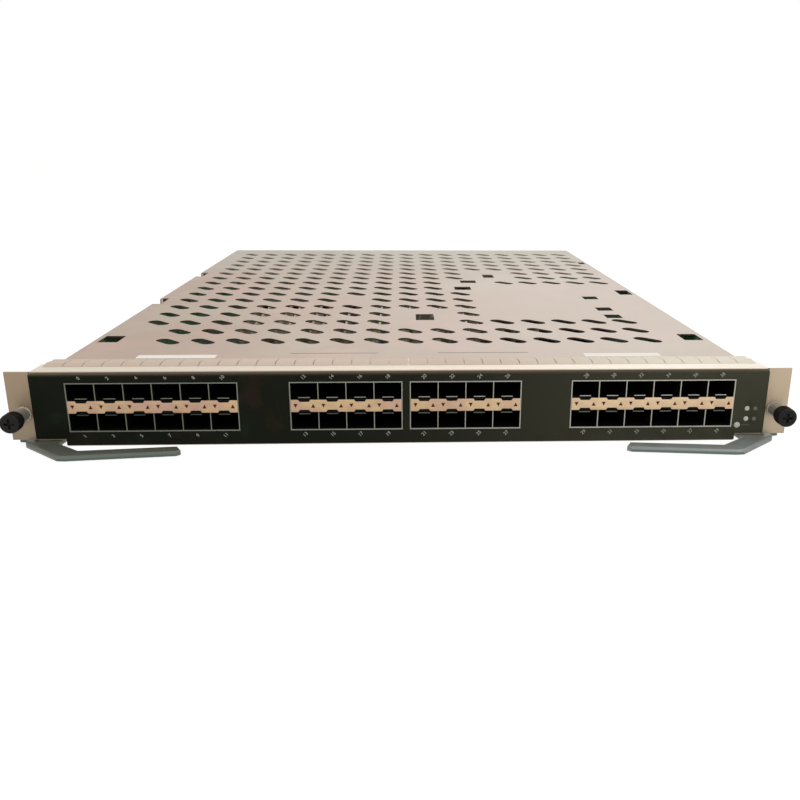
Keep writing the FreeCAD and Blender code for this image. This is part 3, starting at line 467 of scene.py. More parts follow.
def softened(mesh, width, segments=2):
    # Rounds the edges that turn by more than 28 degrees, and shades the flats flat.
    for polygon in mesh.polygons:
        polygon.use_smooth = True
    holder = bpy.data.objects.new("Holder", mesh)
    bevel = holder.modifiers.new("Round", "BEVEL")
    bevel.width = width
    bevel.segments = segments
    bevel.limit_method = "ANGLE"
    bevel.angle_limit = math.radians(28)
    bevel.harden_normals = True
    bevel.miter_outer = "MITER_ARC"
    return settled(holder)


def box(low, high):
    def stretch(work):
        bmesh.ops.create_cube(work, size=1)
        for vert in work.verts:
            for axis in range(3):
                vert.co[axis] = high[axis] if vert.co[axis] > 0 else low[axis]
    return worked(stretch)


def rectangle(left, right, low, high):
    return [(left, low), (right, low), (right, high), (left, high)]


def circle(radius, count):
    return [(radius * math.cos(2 * math.pi * i / count), radius * math.sin(2 * math.pi * i / count))
            for i in range(count)]


def upright(x, y, z):
    # Stands a shape made flat up to face forward, at its place.
    return Matrix.Translation((x, y, z)) @ Matrix.Rotation(math.pi / 2, 4, "X")


def solidBoxes(node):
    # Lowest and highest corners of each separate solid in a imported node, left to right.
    work = bmesh.new()
    work.from_mesh(frame["nodes"][node].data)
    bmesh.ops.remove_doubles(work, verts=work.verts, dist=weld)
    left, boxes = set(work.verts), []
    while left:
        group = [left.pop()]
        for vert in group:
            near = {edge.other_vert(vert) for edge in vert.link_edges} & left
            left -= near
            group += near
        boxes.append([[pick(vert.co[axis] for vert in group) for axis in range(3)] for pick in (min, max)])
    work.free()
    return sorted(boxes)


def grown(name, sizes, design, material, loops=(), points=()):
    # Builds a Geometry Nodes tree with named sizes, runs it on the loops and points, keeps a mesh.
    tree = bpy.data.node_groups.new(name, "GeometryNodeTree")
    tree.interface.new_socket("Geometry", in_out="OUTPUT", socket_type="NodeSocketGeometry")
    tree.interface.new_socket("Places", in_out="INPUT", socket_type="NodeSocketGeometry")
    kinds = {float: "NodeSocketFloat", int: "NodeSocketInt", bpy.types.Object: "NodeSocketObject"}
    names = {}
    for key, value in sizes.items():
        made = tree.interface.new_socket(key, in_out="INPUT", socket_type=kinds[type(value)])
        names[key] = made.identifier
    entry = tree.nodes.new("NodeGroupInput")
    given = {socket.name: Wire(tree, socket) for socket in entry.outputs if socket.name}
    whole = makeNode(tree, "GeometryNodeRealizeInstances", None, {"Geometry": design(tree, given)})
    finished = makeNode(tree, "GeometryNodeSetMaterial", None, {"Geometry": whole, "Material": material})
    makeNode(tree, "NodeGroupOutput", None, {"Geometry": finished})

    def lay(work):
        for loop in loops:
            ring = [work.verts.new(point) for point in loop]
            for first, second in zip(ring, ring[1:] + ring[:1]):
                work.edges.new((first, second))
        for point in points:
            work.verts.new(point)
    holder = bpy.data.objects.new(name, worked(lay))
    growth = holder.modifiers.new(name, "NODES")
    growth.node_group = tree
    for key, value in sizes.items():
        growth[names[key]] = value
    return settled(holder)


def spread(tree, places, thing, **more):
    # One copy of a thing on each place.
    return makeNode(tree, "GeometryNodeInstanceOnPoints", None, {"Points": places, "Instance": thing, **more})


def vector(tree, x=0.0, y=0.0, z=0.0):
    return makeNode(tree, "ShaderNodeCombineXYZ", None, {"X": x, "Y": y, "Z": z})


def block(tree, x, y, z):
    return makeNode(tree, "GeometryNodeMeshCube", None, {"Size": vector(tree, x, y, z)})


def slab(tree, curves, height):
    # The area inside the curves, drawn up to a closed solid.
    flat = makeNode(tree, "GeometryNodeFillCurve", {"mode": "TRIANGLES"}, {"Curve": curves})
    up = vector(tree, z=height)
    drawn = makeNode(tree, "GeometryNodeExtrudeMesh", {"mode": "FACES"},
                     {"Mesh": flat, "Offset": up, "Offset Scale": 1.0, "Individual": False})
    return makeNode(tree, "GeometryNodeJoinGeometry", None, {"Geometry": [drawn, flat]})


def dressed(node, material, width, segments=2, body="card", flat=True):
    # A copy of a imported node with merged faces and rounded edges, shown in its place.
    def merge(work):
        bmesh.ops.remove_doubles(work, verts=work.verts, dist=weld)
        if flat:
            level = math.radians(0.6)
            bmesh.ops.dissolve_limit(work, angle_limit=level, verts=work.verts, edges=work.edges)
        bmesh.ops.recalc_face_normals(work, faces=work.faces)
    mesh = softened(worked(merge, frame["nodes"][node].data), width, segments)
    words = "".join(word.capitalize() for word in node.split("_"))
    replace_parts(meshPiece(words + "Skin", mesh, material, body), node)


def filled(loops, thickness, edge=0.0, turn=None):
    # A flat sheet with openings: the first loop runs round it, the others are holes.
    curve = bpy.data.curves.new("Sheet", "CURVE")
    curve.dimensions = "2D"
    curve.fill_mode = "BOTH"
    curve.extrude = thickness / 2 - edge
    curve.bevel_depth = edge
    curve.bevel_resolution = 1
    curve.offset = -edge
    for number, loop in enumerate(loops):
        area = sum(a[0] * b[1] - b[0] * a[1] for a, b in zip(loop, loop[1:] + loop[:1]))
        if (area > 0) == (number == 0):
            loop = loop[::-1]
        spline = curve.splines.new("POLY")
        spline.points.add(len(loop) - 1)
        for point, (x, y) in zip(spline.points, loop):
            point.co = (x, y, 0, 1)
        spline.use_cyclic_u = True
    mesh = settled(bpy.data.objects.new("Sheet", curve))
    if turn:
        mesh.transform(turn)
    return mesh


def lathe(profile, count, flute=0.0, fluteCount=0):
    # A closed profile of (radius, height, knurled) turned about Z.
    def turned(work):
        rings = []
        for radius, height, knurled in profile:
            ring = []
            for i in range(count):
                angle = 2 * math.pi * i / count
                reach = radius - (flute * (0.5 + 0.5 * math.cos(angle * fluteCount)) if knurled else 0)
                ring.append(work.verts.new((reach * math.cos(angle), reach * math.sin(angle), height)))
            rings.append(ring)
        for a, b in zip(rings, rings[1:] + rings[:1]):
            for i in range(count):
                work.faces.new((a[i], a[i - 1], b[i - 1], b[i]))
        bmesh.ops.recalc_face_normals(work, faces=work.faces)
    mesh = worked(turned)
    for polygon in mesh.polygons:
        polygon.use_smooth = True
    mesh.set_sharp_from_angle(angle=math.radians(38))
    return mesh


def crossRecess(radius, depth, arm, span, under):
    # A disc topped at z 0 with a cross-shaped pocket in it.
    cross = [(arm, arm), (arm, span), (-arm, span), (-arm, arm), (-span, arm), (-span, -arm), (-arm, -arm),
             (-arm, -span), (arm, -span), (arm, -arm), (span, -arm), (span, arm)]
    rim, edge = circle(radius, 48), 0.08 * mm
    cap = filled([rim, cross], depth, edge, Matrix.Translation((0, 0, -depth / 2)))
    base = filled([rim], under, 0.0, Matrix.Translation((0, 0, -depth - under / 2)))
    return joined([cap, base])


print("cover")
coverSizes = {
    "gauge": 1.0 * mm, "half": 181.3 * mm, "tuck": 13.0 * mm, "wide": 26.0 * mm, "rear": 512.0 * mm,
    "tuckHalf": 173.6 * mm, "notchDeep": 7.0 * mm, "notches": ((191.5, 213.5), (322.5, 344.5)),
    "bend": 1.4 * mm, "flange": 8.0 * mm, "flangeFront": 28.0 * mm, "edge": 0.12 * mm,
    "foldSteps": 5, "slitHalf": 0.4,
    "slot": {"Slot Length": 18.0 * mm, "Slot Width": 8.0 * mm, "Slot Turn": math.radians(135),
             "Gauge": 1.0 * mm},
    "first": (-157.6, 71.0), "pitch": (20.1, 26.8),
    "fields": ((1, 0, 15, 2), (0, 2, 8, 2), (10, 2, 6, 1), (10, 3, 1, 4), (0, 4, 10, 1), (0, 5, 6, 1),
               (7, 5, 3, 1), (0, 6, 10, 3), (12, 8, 5, 1), (0, 9, 11, 2), (13, 9, 4, 2), (0, 11, 17, 5)),
    "windows": ((13.4, 141, 12, 20), (140.8, 213, 10.7, 12), (140.8, 168, 10.7, 12), (140.8, 142, 10.7, 12),
                (74.1, 323, 9.3, 18), (54.1, 292, 13, 13), (47.1, 258, 13, 15), (-171.6, 78, 11.3, 16.7),
                (171.6, 78, 11.3, 16.7), (172.6, 237, 10, 20), (175.4, 408, 6, 14)),
    "slits": ((-63, -15, 41.0), (18, 68, 41.0)),
}


def punchedSheet(tree, given):
    # Rounded slots on every loose point, cut out of the area inside the outline.
    ring = makeNode(tree, "GeometryNodeCurvePrimitiveQuadrilateral", None,
                    {"Width": given["Slot Length"], "Height": given["Slot Width"]})
    rounded = makeNode(tree, "GeometryNodeFilletCurve", {"mode": "POLY"},
                       {"Curve": ring, "Count": 7, "Radius": given["Slot Width"] * 0.499})
    turned = makeNode(tree, "GeometryNodeTransform", None,
                      {"Geometry": rounded, "Rotation": vector(tree, z=given["Slot Turn"])})
    loose = 1 - makeNode(tree, "GeometryNodeInputMeshVertexNeighbors")
    slots = makeNode(tree, "GeometryNodeRealizeInstances", None,
                     {"Geometry": spread(tree, given["Places"], turned, Selection=loose)})
    outline = makeNode(tree, "GeometryNodeMeshToCurve", None, {"Mesh": given["Places"]})
    curves = makeNode(tree, "GeometryNodeJoinGeometry", None, {"Geometry": [outline, slots]})
    return slab(tree, curves, given["Gauge"])


def coverLoops():
    sizes = coverSizes
    flat = sizes["half"] - sizes["bend"]
    tuckHalf, tuck, wide, rear = sizes["tuckHalf"], sizes["tuck"], sizes["wide"], sizes["rear"]
    loop = [(-tuckHalf, tuck), (tuckHalf, tuck), (tuckHalf, wide), (flat, wide), (flat, rear), (-flat, rear)]
    inner = -sizes["half"] + sizes["notchDeep"]
    for low, high in reversed(sizes["notches"]):
        loop += [(-flat, high * mm), (inner, high * mm), (inner, low * mm), (-flat, low * mm)]
    loop += [(-flat, wide), (-tuckHalf, wide)]
    loops = [loop]
    for x, y, width, length in sizes["windows"]:
        loops.append(rectangle((x - width / 2) * mm, (x + width / 2) * mm, (y - length / 2) * mm,
                               (y + length / 2) * mm))
    half = sizes["slitHalf"]
    for left, right, y in sizes["slits"]:
        loops.append(rectangle(left * mm, right * mm, (y - half) * mm, (y + half) * mm))
    return [[(x, y + front, 0) for x, y in points] for points in loops]


def slotPlaces():
    (firstX, firstY), (acrossPitch, alongPitch) = coverSizes["first"], coverSizes["pitch"]
    return [((firstX + i * acrossPitch) * mm, (firstY + j * alongPitch) * mm + front, 0)
            for column, row, columns, rows in coverSizes["fields"]
            for i in range(column, column + columns) for j in range(row, row + rows)]


def foldedEdge(sign, start, stop):
    # The rounded fold and the flange below it, along one stretch of the cover's side.
    sizes = coverSizes
    outer = sizes["bend"]
    inner = outer - sizes["gauge"]
    top = coverHigh.z
    middle = (sizes["half"] - outer, top - outer)
    steps = [math.pi / 2 * i / sizes["foldSteps"] for i in range(sizes["foldSteps"] + 1)]
    profile = [(middle[0] + outer * math.sin(a), middle[1] + outer * math.cos(a)) for a in steps]
    hem = top - sizes["flange"]
    profile += [(sizes["half"], hem), (sizes["half"] - sizes["gauge"], hem)]
    profile += [(middle[0] + inner * math.sin(a), middle[1] + inner * math.cos(a)) for a in reversed(steps)]

    def swept(work):
        rings = [[work.verts.new((sign * x, y + front, z)) for x, z in profile] for y in (start, stop)]
        count = len(profile)
        for i in range(count):
            work.faces.new((rings[0][i], rings[0][(i + 1) % count], rings[1][(i + 1) % count], rings[1][i]))
        work.faces.new(rings[0])
        work.faces.new(rings[1][::-1])
        bmesh.ops.recalc_face_normals(work, faces=work.faces)
    return worked(swept)


def makeCover():
    sizes = coverSizes
    sheet = grown("CoverPunching", sizes["slot"], punchedSheet, cover, coverLoops(), slotPlaces())
    sheet.transform(Matrix.Translation((0, 0, coverHigh.z - sizes["gauge"])))
    parts = [softened(worked(outward, sheet), sizes["edge"], 1)]
    stops = [sizes["flangeFront"]]
    for low, high in sizes["notches"]:
        stops += [low * mm, high * mm]
    stops.append(sizes["rear"])
    for start, stop in zip(stops[::2], stops[1::2]):
        parts.append(foldedEdge(-1, start, stop))
    parts.append(foldedEdge(1, sizes["flangeFront"], sizes["rear"]))
    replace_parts(meshPiece("CoverSkin", joined(parts), cover), "top_cover")


makeCover()


print("stickers")
stickerSizes = {"places": ((-123, 34.5, 42, 7), (119, 34.5, 42, 7)), "gauge": 0.1 * mm,
                "sunk": 0.01 * mm, "edge": 0.03 * mm}


def makeStickers():
    sizes = stickerSizes
    for number, (x, y, width, length) in enumerate(sizes["places"], 1):
        low = ((x - width / 2) * mm, front + (y - length / 2) * mm, coverHigh.z - sizes["sunk"])
        high = ((x + width / 2) * mm, front + (y + length / 2) * mm, coverHigh.z + sizes["gauge"])
        meshPiece(f"Sticker{number}", softened(box(low, high), sizes["edge"]), label)


makeStickers()


print("rear screen")
screenSizes = {"half": 178.6 * mm, "gauge": 0.8 * mm, "before": 0.5 * mm, "below": 0.2 * mm,
               "edge": 0.1 * mm}


def makeRearScreen():
    # A bare sheet between the board and the cover, just in front of the backplane plugs, put in to stand in
    # for the shade there, so that the rear slots don't show the background.
    sizes = screenSizes
    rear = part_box("backplane_plugs")[0].y - sizes["before"]
    top = coverHigh.z - coverSizes["gauge"] - sizes["below"]
    low = (-sizes["half"], rear - sizes["gauge"], boardHigh.z + sizes["below"])
    meshPiece("RearScreen", softened(box(low, (sizes["half"], rear, top)), sizes["edge"]), traySheet)


makeRearScreen()


print("knobs and springs")
knobSizes = {"radius": 4.9 * mm, "flutes": 40, "flute": 0.32 * mm, "chamfer": 0.6 * mm, "bore": 3.7 * mm,
             "boreDepth": 4.6 * mm, "recess": 2.7 * mm, "arm": 0.6 * mm, "recessDepth": 1.2 * mm,
             "rim": 0.3 * mm, "lip": 0.2 * mm, "hem": 1.2 * mm, "under": 0.8 * mm, "steps": 160}
springSizes = {"Turns": 4.0, "Radius": 2.25 * mm, "Wire": 0.25 * mm}


def makeKnobs():
    sizes = knobSizes
    for side in ("left", "right"):
        low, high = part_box("screw_knob_" + side)
        radius, chamfer, tall = sizes["radius"], sizes["chamfer"], high.y - low.y
        hub, lip, hem = sizes["recess"] + sizes["rim"], sizes["lip"], sizes["hem"]
        floor = sizes["boreDepth"] - tall
        profile = [(hub, 0, 0), (radius - chamfer, 0, 0), (radius - lip, -chamfer * 0.7, 0),
                   (radius, -chamfer, 1), (radius, hem - tall, 1), (radius - lip, hem * 0.75 - tall, 0),
                   (radius - 2 * lip, -tall, 0), (sizes["bore"], -tall, 0), (sizes["bore"], floor, 0),
                   (hub, floor, 0)]
        body = lathe(profile, sizes["steps"], sizes["flute"], sizes["flutes"])
        cap = crossRecess(hub, sizes["recessDepth"], sizes["arm"], sizes["recess"] - lip, sizes["under"])
        mesh = joined([body, cap])
        mesh.transform(upright((low.x + high.x) / 2, low.y, (low.z + high.z) / 2))
        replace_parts(meshPiece(f"Knob{side.capitalize()}", mesh, knobBlack, side + "_screw"),
                    "screw_knob_" + side)


def coil(tree, given):
    path = makeNode(tree, "GeometryNodeCurveSpiral", None,
                    {"Resolution": 28, "Rotations": given["Turns"], "Start Radius": given["Radius"],
                     "End Radius": given["Radius"], "Height": given["Length"] - given["Wire"] * 2})
    ring = makeNode(tree, "GeometryNodeCurvePrimitiveCircle", None,
                    {"Resolution": 10, "Radius": given["Wire"]})
    return makeNode(tree, "GeometryNodeCurveToMesh", None,
                    {"Curve": path, "Profile Curve": ring, "Fill Caps": True})


def makeSprings():
    for side in ("left", "right"):
        low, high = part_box("screw_spring_" + side)
        length = high.y - low.y
        mesh = grown("SpringCoil", {**springSizes, "Length": length}, coil, screwSteel)
        mesh.transform(upright((low.x + high.x) / 2, high.y - springSizes["Wire"], (low.z + high.z) / 2))
        spring = meshPiece(f"Spring{side.capitalize()}", worked(outward, mesh), screwSteel,
                           side + "_screw_travel")
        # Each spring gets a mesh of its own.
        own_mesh(spring)
        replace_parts(spring, "screw_spring_" + side)


makeKnobs()
makeSprings()


print("port numbers")
numberSizes = {"tall": 2.6 * mm, "turn": math.radians(45), "above": 35.6 * mm, "below": 5.2 * mm,
               "pitch": 14.12 * mm, "cages": ((-127.25, 6), (-30.4, 4), (30.4, 4), (127.25, 6)),
               "proud": 0.03 * mm, "weight": 0.03 * mm, "gauge": 0.02 * mm, "steps": 3}


def makeNumbers():
    sizes = numberSizes
    slant = Matrix.Rotation(sizes["turn"], 4, "Z")
    meshes = []
    for middle, columns in sizes["cages"]:
        for column in range(columns):
            x = middle * mm + sizes["pitch"] * (column - (columns - 1) / 2)
            for z in (sizes["above"], sizes["below"]):
                words = bpy.data.curves.new("Number", "FONT")
                words.body = str(len(meshes))
                words.size = sizes["tall"]
                words.align_x = "CENTER"
                words.align_y = "CENTER"
                words.offset = sizes["weight"]
                words.resolution_u = sizes["steps"]
                words.extrude = sizes["gauge"]
                mesh = settled(bpy.data.objects.new("Number", words))
                mesh.transform(upright(x, filmFace - sizes["proud"], z) @ slant)
                meshes.append(mesh)
    meshPiece("PortNumbers", joined(meshes), numberInk)


makeNumbers()


print("screw heads")
headSizes = {"radius": 2.7 * mm, "rise": 0.45 * mm, "arm": 0.45 * mm, "span": 1.5 * mm, "recess": 0.9 * mm,
             "under": 0.6 * mm, "boardRadius": 2.9 * mm, "boardRise": 2.0 * mm, "rim": 0.4 * mm,
             "floor": 0.3 * mm, "dome": ((0.72, 0.94), (0.93, 0.62), (1, 0.3)), "steps": 40}


def makeHead(radius, height):
    # A low pan head with a cross recess, standing on z 0.
    sizes = headSizes
    hub, low = sizes["span"] + sizes["rim"], -sizes["under"]
    dome = [(radius * across, height * up, 0) for across, up in sizes["dome"]]
    centre = crossRecess(hub, sizes["recess"], sizes["arm"], sizes["span"], sizes["floor"])
    centre.transform(Matrix.Translation((0, 0, height)))
    return joined([lathe([(hub, height, 0), *dome, (radius, low, 0), (hub, low, 0)], sizes["steps"]), centre])


def headsOut(tree, given):
    # One head on each place, turned to face away from the card's middle line, or upwards.
    place = makeNode(tree, "GeometryNodeInputPosition")
    side = makeNode(tree, "ShaderNodeSeparateXYZ", None, {"Vector": place}, "X")
    quarter = side.maths("SIGN", side) * given["Turn"]
    head = makeNode(tree, "GeometryNodeObjectInfo", None, {"Object": given["Head"]}, "Geometry")
    return spread(tree, given["Places"], head, Rotation=vector(tree, y=quarter))


def makeHeads():
    sizes = headSizes
    sides = []
    for low, high in solidBoxes("cover_screws"):
        x = coverSizes["half"] * (1 if low[0] > 0 else -1)
        sides.append((x, (low[1] + high[1]) / 2, (low[2] + high[2]) / 2))
    tops = [((low[0] + high[0]) / 2, (low[1] + high[1]) / 2, low[2])
            for low, high in solidBoxes("board_screws")]
    rows = (("CoverScrewHeads", sides, sizes["radius"], sizes["rise"], math.pi / 2, "cover_screws"),
            ("BoardScrewHeads", tops, sizes["boardRadius"], sizes["boardRise"], 0.0, "board_screws"))
    for name, places, radius, height, turn, node in rows:
        head = bpy.data.objects.new("Head", makeHead(radius, height))
        mesh = grown(name, {"Head": head, "Turn": turn}, headsOut, screwSteel, (), places)
        bpy.data.objects.remove(head)
        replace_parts(meshPiece(name, mesh, screwSteel), node)


makeHeads()


print("lamp marks")
markSizes = {"radius": 1.1 * mm, "beside": 4.3 * mm, "line": (2.0 * mm, 6.5 * mm), "lineHalf": 0.12 * mm,
             "proud": 0.03 * mm, "gauge": 0.04 * mm, "steps": 24}


def makeLampMarks():
    # A plain dot beside each of the two upper lights, and a thin line beside the lowest.
    sizes = markSizes
    line = rectangle(*sizes["line"], -sizes["lineHalf"], sizes["lineHalf"])
    dot = [(x + sizes["beside"], y) for x, y in circle(sizes["radius"], sizes["steps"])]
    lamps = sorted(solidBoxes("status_lights"), key=lambda pair: pair[0][2])
    meshes = []
    for low, high in lamps:
        mesh = filled([dot if meshes else line], sizes["gauge"])
        mesh.transform(upright((low[0] + high[0]) / 2, filmFace - sizes["proud"], (low[2] + high[2]) / 2))
        meshes.append(mesh)
    meshPiece("LampMarks", joined(meshes), markInk)


makeLampMarks()


print("finger strips")
fingerSizes = {"pitch": 9.52 * mm, "gap": 0.35 * mm, "gauge": 0.2 * mm, "rise": 0.7 * mm, "tail": 1.6 * mm,
               "overlap": 0.1 * mm, "steps": 12, "crest": 0.86, "curl": 1.4}


def fingerRow(tree, given):
    # The profile is filled, drawn out to one finger's width and repeated along the strip.
    outline = makeNode(tree, "GeometryNodeMeshToCurve", None, {"Mesh": given["Places"]})
    whole = slab(tree, outline, given["Pitch"] - given["Gap"])
    finger = makeNode(tree, "GeometryNodeTransform", None,
                      {"Geometry": whole, "Rotation": vector(tree, math.pi / 2, 0.0, math.pi / 2)})
    line = makeNode(tree, "GeometryNodeMeshLine", None,
                    {"Count": given["Count"], "Start Location": vector(tree, given["Start"]),
                     "Offset": vector(tree, given["Pitch"])})
    return spread(tree, line, finger)


def makeFingers():
    sizes = fingerSizes
    for side in ("left", "right"):
        low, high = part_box("finger_strip_" + side)
        length = high.x - low.x
        count = round(length / sizes["pitch"])
        gap, gauge, overlap, rear = sizes["gap"], sizes["gauge"], sizes["overlap"], high.y - sizes["tail"]
        upper = []
        for i in range(sizes["steps"] + 1):
            share = i / sizes["steps"]
            arch = math.sin(math.pi * min(share / sizes["crest"], 1.0)) ** sizes["curl"]
            upper.append((low.y + overlap + share * (rear - low.y), low.z + gauge + sizes["rise"] * arch))
        loop = [(y, z, 0) for y, z in upper] + [(y, z - gauge, 0) for y, z in reversed(upper)]
        given = {"Pitch": length / count, "Gap": gap, "Count": count, "Start": low.x + gap / 2}
        row = grown("FingerRow", given, fingerRow, fingers, [loop])
        tail = box((low.x, rear - overlap, low.z), (high.x, high.y, low.z + gauge))
        mesh = joined([worked(outward, row), tail])
        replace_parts(meshPiece(f"FingerStrip{side.capitalize()}", mesh, fingers), "finger_strip_" + side)


makeFingers()


print("pins and contacts")
pinSizes = {"Across": 4, "Up": 8, "Across Pitch": 2.0 * mm, "Up Pitch": 2.3 * mm,
            "Wide": 0.5 * mm, "Tall": 0.5 * mm, "Long": 7.0 * mm}
contactSizes = {"Across": 10, "Up": 2, "Across Pitch": 0.8 * mm, "Up Pitch": 2.4 * mm,
                "Wide": 0.35 * mm, "Tall": 0.3 * mm, "Long": 1.2 * mm}
grooveSizes = {"count": 5, "rib": 1.8 * mm, "deep": 10.0 * mm}
contactPlaces = {"heights": (0.22, 0.78), "sunk": 0.1 * mm}


def pinBank(tree, given):
    # A grid of square pins pointing along Y, on each place.
    grid = makeNode(tree, "GeometryNodeMeshGrid", None,
                    {"Size X": given["Across Pitch"] * (given["Across"] - 1),
                     "Size Y": given["Up Pitch"] * (given["Up"] - 1),
                     "Vertices X": given["Across"], "Vertices Y": given["Up"]})
    pins = spread(tree, grid, block(tree, given["Wide"], given["Tall"], given["Long"]))
    bank = makeNode(tree, "GeometryNodeTransform", None,
                    {"Geometry": pins, "Rotation": vector(tree, math.pi / 2)})
    return spread(tree, given["Places"], bank)


def makePins():
    pins, contacts = [], []
    count, rib = grooveSizes["count"], grooveSizes["rib"]
    for low, high in solidBoxes("backplane_plugs"):
        step = (high[0] - low[0] - rib) / count
        y = high[1] - grooveSizes["deep"] + pinSizes["Long"] / 2
        pins += [(low[0] + step * i + (step + rib) / 2, y, (low[2] + high[2]) / 2) for i in range(count)]
    for bank in banks:
        for low, high in solidBoxes(f"port_connectors_{bank}"):
            x, y = (low[0] + high[0]) / 2, low[1] - contactSizes["Long"] / 2 + contactPlaces["sunk"]
            contacts += [(x, y, low[2] + share * (high[2] - low[2])) for share in contactPlaces["heights"]]
    for name, sizes, places in (("PlugPins", pinSizes, pins), ("PortContacts", contactSizes, contacts)):
        meshPiece(name, grown(name, sizes, pinBank, goldPlate, (), places), goldPlate)


makePins()


print("board parts")
partSizes = {"Density": 5000.0, "Apart": 5.2 * mm, "Seed": 7, "Least": 1.2 * mm, "Most": 4.0 * mm,
             "High": 2.2 * mm, "Low Share": 0.4}
partFields = ((-155, -6, -190, -130), (6, 155, -190, -130), (-155, -6, -20, 46), (6, 84, -20, 46),
              (-155, -6, 176, 232), (6, 155, 102, 232))


def scattered(tree, given):
    # Small blocks of seeded sizes, kept apart from each other, on every field of the board.
    outline = makeNode(tree, "GeometryNodeMeshToCurve", None, {"Mesh": given["Places"]})
    fields = makeNode(tree, "GeometryNodeFillCurve", {"mode": "NGONS"}, {"Curve": outline})
    spots = makeNode(tree, "GeometryNodeDistributePointsOnFaces", {"distribute_method": "POISSON"},
                     {"Mesh": fields, "Distance Min": given["Apart"], "Density Max": given["Density"],
                      "Seed": given["Seed"]})
    least, most = given["Least"], given["Most"]
    size = makeNode(tree, "FunctionNodeRandomValue", {"data_type": "FLOAT_VECTOR"},
                    {0: vector(tree, least, least, given["High"] * given["Low Share"]),
                     1: vector(tree, most, most, given["High"]), "Seed": given["Seed"]})
    based = makeNode(tree, "GeometryNodeTransform", None,
                     {"Geometry": block(tree, 1.0, 1.0, 1.0), "Translation": vector(tree, z=0.5)})
    return spread(tree, spots, based, Scale=size)


def makeBoardParts():
    loops = [[(x * mm, y * mm, 0) for x, y in rectangle(*field)] for field in partFields]
    rows = (("BoardPartsPale", smallBrown, {}),
            ("BoardPartsGrey", chokeGrey, {"Seed": 23, "Density": 3000.0}),
            ("BoardPartsBlack", chipBlack, {"Seed": 41, "Density": 900.0, "Apart": 14 * mm, "Most": 9 * mm}))
    for name, material, changes in rows:
        mesh = grown(name, {**partSizes, **changes}, scattered, material, loops)
        mesh.transform(Matrix.Translation((0, 0, boardHigh.z)))
        meshPiece(name, mesh, material)


makeBoardParts()


print("dressed nodes")
dressing = {
    "faceplate": (plate, 0.00018), "processor_board": (board, 0.0001),
    "processor_spacers": (screwSteel, 0.0002), "base_tray": (traySheet, 0.0002),
    "screw_ferrules": (screwSteel, 0.00015), "lever_bracket_left": (plate, 0.0002),
    "lever_bracket_right": (plate, 0.0002), "lever_pivots": (screwSteel, 0.0001),
    "heat_sink_left": (sinkAlloy, 0.0002), "heat_sink_right": (sinkAlloy, 0.0002),
    "switch_chips": (chipBlack, 0.0003), "power_modules": (blackPlastic, 0.0005),
    "power_chokes": (chokeGrey, 0.0006), "power_capacitors": (smallBrown, 0.0004),
    "guide_sockets": (sinkAlloy, 0.0005), "board_standoffs": (screwSteel, 0.0002),
    "status_lights": (lampLens, 0.0002),
}
for bank in banks:
    dressing[f"centre_strip_{bank}"] = (warmStrip, 0.00008)
    dressing[f"port_separators_{bank}"] = (latch, 0.00006)
    dressing[f"port_connectors_{bank}"] = (blackPlastic, 0.0001)
# The two sheets with openings keep their facets, because merged faces with holes go astray.
for node, (material, width) in dressing.items():
    dressed(node, material, width, flat=node not in ("faceplate", "base_tray"))
for side in ("left", "right"):
    dressed("ejector_lever_" + side, leverAlloy, 0.0003, 3, side + "_lever")
    dressed("captive_screw_" + side, screwSteel, 0.0001, 2, side + "_screw")

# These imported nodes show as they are, and only take a material.
kept = {"front_film": film, "main_board": board, "light_pipes": arrowLens, "backplane_plugs": blackPlastic}
for bank in banks:
    for part in ("shell", "floor", "dividers"):
        kept[f"cage_{part}_{bank}"] = cage
for node, material in kept.items():
    mesh = frame["nodes"][node].data
    mesh.materials.clear()
    mesh.materials.append(material)


print("stage, light and camera")
stageSizes = {"reach": 6.0, "drop": 0.3 * mm, "seen": 0.9, "shade": 0.2, "pale": (0.82, 0.82, 0.82, 1),
              "sky": (1.0, 0.985, 0.96, 1), "skyPower": 0.5}
lights = {
    "Key": ((0.9, -0.9, 1.6), (0, 0, 0), (1.4, 1.4), 11, (1.0, 0.98, 0.95)),
    "Fill": ((-1.1, -1.0, 0.9), (0, -0.1, 0), (1.0, 1.0), 4, (1.0, 0.98, 0.96)),
    "Back": ((0.3, 1.6, 1.4), (0, 0.1, 0), (1.6, 0.8), 7.5, (1.0, 0.98, 0.96)),
}
cameraSizes = {"place": (-1.838 * mm, -401.165 * mm, 146.396 * mm), "yaw": 2.62383, "pitch": 17.076108,
               "roll": 0.374088, "lens": 37.048, "sensor": 36, "shift": -0.04824, "near": 0.01, "far": 50}


def seenShare(tree):
    # 1 for rays from the camera, and for those that metal or glass sends on.
    share = makeNode(tree, "ShaderNodeLightPath", output="Is Camera Ray")
    for name in ("Is Glossy Ray", "Is Transmission Ray"):
        share = share.larger(makeNode(tree, "ShaderNodeLightPath", output=name))
    return share


def floorMaterial():
    # Plain and pale; what the camera sees of it is lifted to white, with the object's shadow kept.
    material = bpy.data.materials.new("FloorPale")
    material.use_nodes = True
    tree = material.node_tree
    tree.nodes.clear()
    grey = stageSizes["shade"]
    plain = makeNode(tree, "ShaderNodeBsdfDiffuse", None, {"Color": stageSizes["pale"]})
    faint = makeNode(tree, "ShaderNodeBsdfDiffuse", None, {"Color": (grey, grey, grey, 1)})
    glow = makeNode(tree, "ShaderNodeEmission", None, {"Strength": stageSizes["seen"]})
    lifted = makeNode(tree, "ShaderNodeAddShader", None, {0: faint, 1: glow})
    picked = makeNode(tree, "ShaderNodeMixShader", None, {0: seenShare(tree), 1: plain, 2: lifted})
    makeNode(tree, "ShaderNodeOutputMaterial", None, {"Surface": picked})
    return material


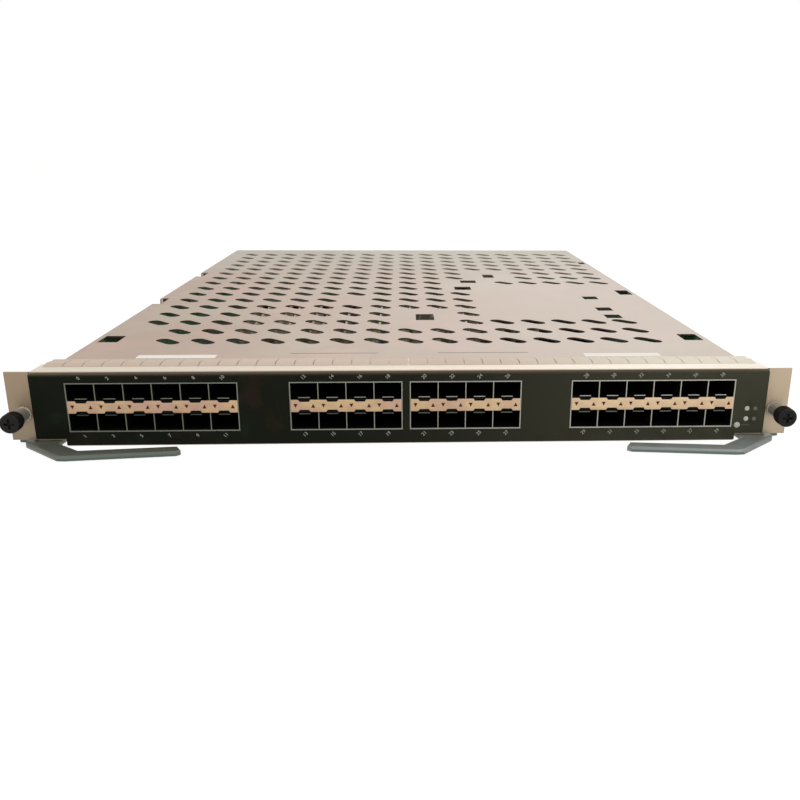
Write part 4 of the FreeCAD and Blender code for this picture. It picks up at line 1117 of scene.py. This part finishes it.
def makeStage():
    floor = bpy.data.objects.new("Floor", worked(
        lambda work: bmesh.ops.create_grid(work, x_segments=1, y_segments=1, size=stageSizes["reach"])))
    floor.location = (0, 0, -stageSizes["drop"])
    floor.data.materials.append(floorMaterial())
    bpy.context.scene.collection.objects.link(floor)
    world = bpy.data.worlds.new("Studio")
    bpy.context.scene.world = world
    world.use_nodes = True
    tree = world.node_tree
    tree.nodes.clear()
    lit = makeNode(tree, "ShaderNodeBackground", None,
                   {"Color": stageSizes["sky"], "Strength": stageSizes["skyPower"]})
    seen = makeNode(tree, "ShaderNodeBackground", None, {"Color": (1, 1, 1, 1), "Strength": 1.0})
    picked = makeNode(tree, "ShaderNodeMixShader", None, {0: seenShare(tree), 1: lit, 2: seen})
    makeNode(tree, "ShaderNodeOutputWorld", None, {"Surface": picked})


def makeLight(name, place, aim, size, power, colour):
    data = bpy.data.lights.new(name, "AREA")
    data.shape = "RECTANGLE"
    data.size, data.size_y = size
    data.energy = power
    data.color = colour
    lamp = bpy.data.objects.new(name, data)
    lamp.location = place
    lamp.rotation_euler = (Vector(aim) - Vector(place)).to_track_quat("-Z", "Y").to_euler()
    bpy.context.scene.collection.objects.link(lamp)


def makeCamera():
    sizes = cameraSizes
    turn = Matrix.Identity(3)
    for angle, axis in ((sizes["yaw"], "Z"), (sizes["pitch"], "X"), (sizes["roll"], "Y")):
        turn = Matrix.Rotation(math.radians(angle), 3, axis) @ turn
    data = bpy.data.cameras.new("Camera")
    data.sensor_width = sizes["sensor"]
    data.lens = sizes["lens"]
    data.shift_x = sizes["shift"]
    data.clip_start = sizes["near"]
    data.clip_end = sizes["far"]
    camera = bpy.data.objects.new("Camera", data)
    across, ahead, up = turn
    spin = Matrix((across, up, -ahead)).transposed().to_4x4()
    camera.matrix_world = Matrix.Translation(Vector(sizes["place"]) + Vector((0, front, 0))) @ spin
    bpy.context.scene.collection.objects.link(camera)
    bpy.context.scene.camera = camera


makeStage()
for name, setting in lights.items():
    makeLight(name, *setting)
makeCamera()
bpy.context.scene.view_settings.view_transform = "Standard"
